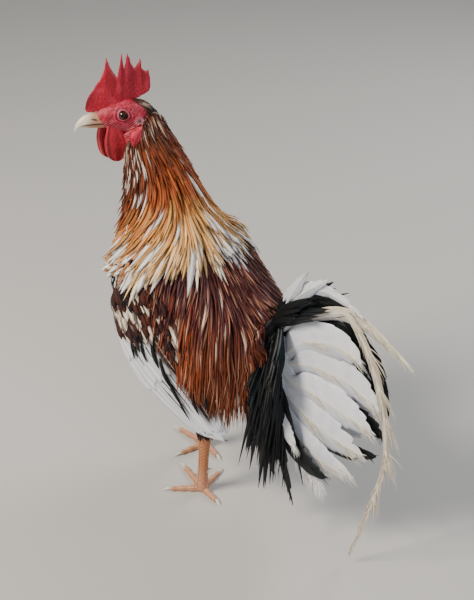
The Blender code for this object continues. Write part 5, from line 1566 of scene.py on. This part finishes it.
# Name, feathers, number of strands, spans of the shaft, length and half-width in metres, colour,
# angle to the shaft, and the sides where it isn't both
FRAYS = [
    ("sickle_barbs", [3], 240, [(0.40, 0.99)], 0.024, 0.00055, "DCD0BA", 0.32),
    ("sickle_locks", [3], 84, [(0.495, 0.515), (0.575, 0.59), (0.63, 0.65), (0.70, 0.72), (0.80, 0.84)],
     0.042, 0.0006, "DFD4BE", 0.55, (UPPER,)),
    ("cream_barbs", [2], 170, [(0.35, 0.97)], 0.022, 0.0006, "E0D6C2", 0.36),
    ("vane_barbs", [6, 7, 8, 9, 10], 300, [(0.45, 0.62), (0.70, 0.99)],
     0.034, 0.0006, "E2D9C8", 0.46, (LOWER,)),
    ("vane_tips", [0, 6, 7, 8, 9, 10, 11], 200, [(0.84, 0.99)], 0.024, 0.0007, "E6E4E0", 0.35),
    ("fluffy_end", [12], 190, [(0.55, 1.0)], 0.024, 0.0007, "E9E8E6", 0.75),
    ("black_barbs", [1, 13, 14, 15, 16, 18, 19, 20, 21], 420, [(0.25, 0.97)], 0.026, 0.0007, "0C1012", 0.45),
]
for settings in FRAYS:
    fray(*settings)

# %% [markdown]
# Between the saddle and the fan hangs a dense black bunch, the lesser sickles and tail coverts, which
# hides the tail's root. Most hang down, and two locks follow the arch. Strewn evenly they would look like
# a brush, so a table gives the place, length and angle of each lock, and every feather belongs to one of
# them.

# %% Black tail coverts
COVERT_STATIONS = 11
# Locks of coverts: place along the root, place down it, length in mm, angle to the ground in degrees
LOCKS = np.array([
    (0.10, 0.10, 120, -92), (0.15, 0.35, 150, -90), (0.30, 0.20, 168, -86), (0.25, 0.60, 130, -90),
    (0.45, 0.45, 150, -83), (0.55, 0.70, 112, -85), (0.70, 0.55, 92, -78), (0.60, 0.90, 84, -83),
    (0.80, 0.85, 62, -76), (0.35, 0.85, 105, -91), (0.05, 0.70, 96, -93), (0.90, 0.65, 56, -70),
    (0.50, 0.10, 140, -79), (0.15, 0.90, 70, -95), (0.75, 0.98, 48, -66), (0.15, 1.00, 74, 46),
    (0.30, 0.95, 84, 38),
])
count = 386
lock = LOCKS[rng.integers(0, len(LOCKS), count)]
grow = np.clip(lock[:, 0] + chance(count, 0.06), 0, 1)
facing_side = rng.choice(np.array([-1.0, -1.0, 1.0]), count)
spot = np.clip(lock[:, 1] + chance(count, 0.06), 0, 1)
start = MM * np.stack([111 + 18 * grow, facing_side * (6 + 20 * np.sin(math.pi * np.clip(spot, 0.1, 0.9))),
                       232 + 44 * spot], -1)
long = MM * lock[:, 2] * rng.uniform(0.62, 1.0, count)
angle = np.radians(lock[:, 3] + chance(count, 2.2))
fall = np.linspace(0, 1, COVERT_STATIONS)
bent = angle[:, None] - 0.30 * np.sin(angle + math.pi / 2)[:, None] * fall
step = (long / (COVERT_STATIONS - 1))[:, None]
x = start[:, :1] + MM * 4 + np.cumsum(np.cos(bent) * step, 1)
z = start[:, 2:] + np.cumsum(np.sin(bent) * step, 1)
# Those that hang stand off the tail, and those that follow its arch lie close to it
stand_off = np.where(angle < 0, 26.0, 3.0)[:, None] * fall ** 1.1
y = start[:, 1:2] + facing_side[:, None] * MM * (stand_off + 7 * np.abs(chance((count, 1), 0.7)) * fall + 2)
strands = np.stack([x, y, np.maximum(z, 0.02)], -1)
outs = np.zeros_like(strands)
outs[..., 1] = facing_side[:, None]
half = MM * 4.8 * np.exp(chance((count, 1), 0.22)) * leaf_shape(COVERT_STATIONS, 0.42, 0.5, 1.25)[None]
tone = mix("06090C", "102229", ease(chance(count), 0.3, 1.6))[:, None] + 0 * strands
tint = shaded(tone, 0.9, 1.12, 0.6)
barbs, bake = tuft_maps(half, long, np.stack([0.1 + 0.8 * grow, 0.1 + 0.8 * spot], -1))
plumes("tail_coverts", blades(strands, outs, half, 0.0003), tint, barbs, bake, hackle_paint)

# %% [markdown]
# Shanks and toes are covered in overlapping horny plates, square in front and smaller at the sides. A
# bump map would look flat in the leg's outline. So the plates are real steps in the mesh: the height
# rises over each plate and falls at its seam, and only the finest grain is left to the material.

# %% Scales
# Dry skin over horn, a little waxy; its grain is about 1.4 mm wide, so 700 to the metre
leg_paint, _, _ = grained(
    "leg scales", "ShaderNodeTexNoise", "Fac", {"Scale": 700.0, "Detail": 4.0},
    ((0.74, 0.68, 0.64), (1.16, 1.14, 1.12)), {"Strength": 0.3, "Distance": 0.0003},
    Roughness=0.46, Subsurface_Weight=0.06, Subsurface_Scale=0.003, IOR=1.48)

# In millimetres, and the claw's share of a toe's length
SHANK_RADIUS = 6.6
TOE_RADIUS = 4.3
CLAW_SHARE = 0.27


def scales(run, turn, apart):
    """Plate height from 0 to 1 and the seam between plates; run is in mm, turn 0 is the plates' middle."""
    row = run / apart
    front = ease(1.15 - np.abs(turn), 0.0, 0.25)
    big = np.mod(row, 1.0)
    small_row = 1.7 * row
    small = np.mod(small_row, 1.0) * (0.5 + 0.5 * np.cos(7 * turn + math.pi * np.floor(small_row)))
    seam = np.exp(-((big - 0.5) ** 2 - 0.25) ** 2 / 0.0012) * front
    between = np.exp(-((np.abs(turn) - 1.15) / 0.09) ** 2)
    return front * big ** 0.7 + (1 - front) * small, np.maximum(seam, between)


def tube(path, side_way, tall, wide, turns, height):
    """A closed tube with plates on it; `turns` round the path, its first direction ahead."""
    along = unit(np.gradient(path, axis=0))
    across = unit(side_way - along * (along @ side_way)[:, None])
    front = np.cross(across, along)
    ahead = front[:, None] * ((height + tall[:, None]) * np.cos(turns))[..., None]
    beside = across[:, None] * ((height + wide[:, None]) * np.sin(turns))[..., None]
    return path[:, None] + ahead + beside


def strip(places, index, total):
    """The corner maps moved into their own strip of the square, number `index` of `total`."""
    return [np.stack([(index + 0.04 + 0.92 * one[..., 1]) / total, 0.02 + 0.96 * one[..., 0]], -1)
            for one in places]


def level(angle):
    """The horizontal direction at an angle in degrees: cosine along x and sine along y."""
    return np.array([math.cos(math.radians(angle)), math.sin(math.radians(angle)), 0.0])


plate, seam = scales(np.array([0.0, 2.4, 4.7]), np.zeros(3), 4.8)
print("plate height at its start, middle and end", np.round(plate, 2).tolist())

# %% [markdown]
# The shank is a bony rod with almost no flesh, thick at the hock and at the foot, with a tendon on each
# side behind. It could be a cylinder with a few loops pulled in. As a tube along a path it takes the
# plates' height directly.

# %% Shanks
# Where a shank meets its foot, in millimetres over the floor
SHANK_FOOT = 15.0
turns = np.linspace(-math.pi, math.pi, 56, endpoint=False)[None]
for side in SIDES:
    hock = MM * np.array(HOCKS[side], float)
    top = MM * np.array([*FEET[side], SHANK_FOOT])
    share = np.linspace(0, 1, 150)
    path = top + (hock + MM * np.array([0, 0, 3.0]) - top) * share[:, None]
    slender = np.interp(share, np.linspace(0, 1, 7), [1.08, 0.95, 0.9, 0.9, 0.95, 1.08, 1.0])
    radius = MM * SHANK_RADIUS * slender
    long = np.linalg.norm(path[-1] - path[0]) / MM
    plate, seam = scales(long * (1 - share)[:, None], turns, 4.8)
    height = MM * (0.95 * plate - 0.45 * seam)
    tendon = MM * 0.5 * np.exp(-((np.abs(turns) - 2.4) / 0.25) ** 2)
    points = tube(path, BIRD_LEFT, radius * 1.06, radius * 0.88, turns, height + tendon)
    tone = mix("C28558", "D39C7A", ease(0.45 - share, 0.0, 0.4)[:, None] + 0 * turns)
    tone = mix(tone, "B0603F", 0.35 * ease(np.abs(turns), 1.2, 2.2) + 0 * share[:, None])
    tone = mix(tone, "6A3824", 0.85 * seam) * (0.80 + 0.36 * plate)[..., None]
    vertices, faces, places = wrapped(points)
    piece(f"shank_scales_{side}", vertices, faces, leg_paint, strip(places, 0, 1), capped(tone),
          replaced=(f"shank_{side}",))

# %% [markdown]
# A foot has three toes in front and one behind, each with swollen joints and a horn claw. Pulled out of
# one mesh, its plates would stretch at every corner. So it is a short stump and four tubes that run into
# each other, cut off flat at the floor.

# %% Feet, toes and claws
few = np.linspace(-math.pi, math.pi, 20, endpoint=False)[None]
for side in SIDES:
    fx, fy = FEET[side]
    parts = []
    share = np.linspace(0, 1, 50)
    path = MM * np.array([fx, fy, 0.6]) + np.array([0, 0, MM * 17.5]) * share[:, None]
    radius = MM * SHANK_RADIUS * np.interp(share, [0, 0.3, 0.7, 1], [0.82, 1.12, 1.1, 1.0])
    plate, seam = scales(17 * share[:, None], turns, 4.2)
    points = tube(path, BIRD_LEFT, radius * 1.08, radius * 0.95, turns, MM * (0.5 * plate - 0.3 * seam))
    tone = mix("CF9674", "844E38", 0.75 * seam) * (0.92 + 0.16 * plate)[..., None]
    vertices, faces, places = wrapped(points)
    parts.append((vertices, faces, strip(places, 0, 5), capped(tone)))
    for number, (toe, (angle, length)) in enumerate(TOES[side].items()):
        way = level(angle)
        flat = np.cross(UP, way)
        reach = length * (1 - CLAW_SHARE)
        share = np.linspace(0, 1, 90)
        radius = TOE_RADIUS * (1.05 - 0.4 * share)
        knuckle = 0.45 * np.cos(2 * math.pi * 3 * share) * ease(share, 0.1, 0.3)
        raised = UP * (radius * 0.84 + 0.2)[:, None]
        middle = MM * (np.array([fx, fy, 0.0]) + way * (reach * share)[:, None] + raised)
        plate, seam = scales(reach * (1 - share)[:, None], turns, 3.6)
        grown = MM * (0.5 * plate - 0.3 * seam)
        size = MM * (radius + knuckle)
        points = middle[:, None] + UP * ((size[:, None] + grown) * np.cos(turns))[..., None]
        points = points + flat * ((size[:, None] * 0.95 + grown) * np.sin(turns))[..., None]
        points[..., 2] = np.maximum(points[..., 2], 0.00025)
        tone = mix("D09C78", "84523A", 0.8 * seam) * (0.9 + 0.2 * plate)[..., None]
        tone = mix(tone, "A9714F", 0.5 * ease(np.abs(turns), 1.6, 2.4) + 0 * share[:, None])
        vertices, faces, places = wrapped(points)
        parts.append((vertices, faces, strip(places, number + 1, 5), capped(tone)))

        share = np.linspace(0, 1, 30)
        radius = TOE_RADIUS * 0.60 * (1 - 0.88 * share ** 1.3)
        rise = (TOE_RADIUS * 0.62 + 1.5 * np.sin(math.pi * share)) * (1 - share) + (radius + 0.15) * share
        run = reach - 0.8 + (length - reach + 0.5) * share
        middle = MM * (np.array([fx, fy, 0.0]) + way * run[:, None] + UP * rise[:, None])
        points = middle[:, None] + UP * (MM * radius[:, None] * np.cos(few))[..., None]
        points = points + flat * (MM * radius[:, None] * 0.8 * np.sin(few))[..., None]
        points[..., 2] = np.maximum(points[..., 2], 0.0003)
        tone = mix("C9AE93", "EFE6D8", ease(share, 0.0, 0.5)[:, None] + 0 * few)
        solid(f"claw_horn_{toe}_{side}", points, tone, horn_paint, (f"claw_{toe}_{side}",))
    vertices, faces, maps, colour = joined(parts)
    piece(f"foot_scales_{side}", vertices, faces, leg_paint, maps, colour, replaced=(f"foot_{side}",))

# %% [markdown]
# A cock's spur is a cone of horn on the inner rear side of the shank, a little bent upwards. Blender's
# cone would need bending and painting. A row of rings along a rising path, whose radius shrinks to a
# blunt tip, is a few lines.

# %% Spurs
for side in SIDES:
    hock = MM * np.array(HOCKS[side], float)
    top = MM * np.array([*FEET[side], SHANK_FOOT])
    angle, height = SPURS[side]
    way = unit(level(angle) + 0.12 * UP)
    share = np.linspace(0, 1, 26)
    at = (height - SHANK_FOOT) / (hock[2] / MM - SHANK_FOOT)
    start = top + (hock - top) * at
    radius = MM * 3.8 * (1 - 0.86 * share ** 1.6)
    rising = UP * (MM * (1.0 + 2.2 * share ** 2))[:, None]
    middle = start + way * (MM * (3.5 + 14.0 * share))[:, None] + rising
    flat = unit(np.cross(UP, way))
    points = middle[:, None] + np.cross(way, flat) * (radius[:, None] * np.cos(few))[..., None]
    points = points + flat * (radius[:, None] * np.sin(few))[..., None]
    tone = mix("C99F80", "F0EAE0", ease(share, 0.0, 0.45)[:, None] + 0 * few)
    solid(f"spur_horn_{side}", points, tone, horn_paint, (f"spur_{side}",))
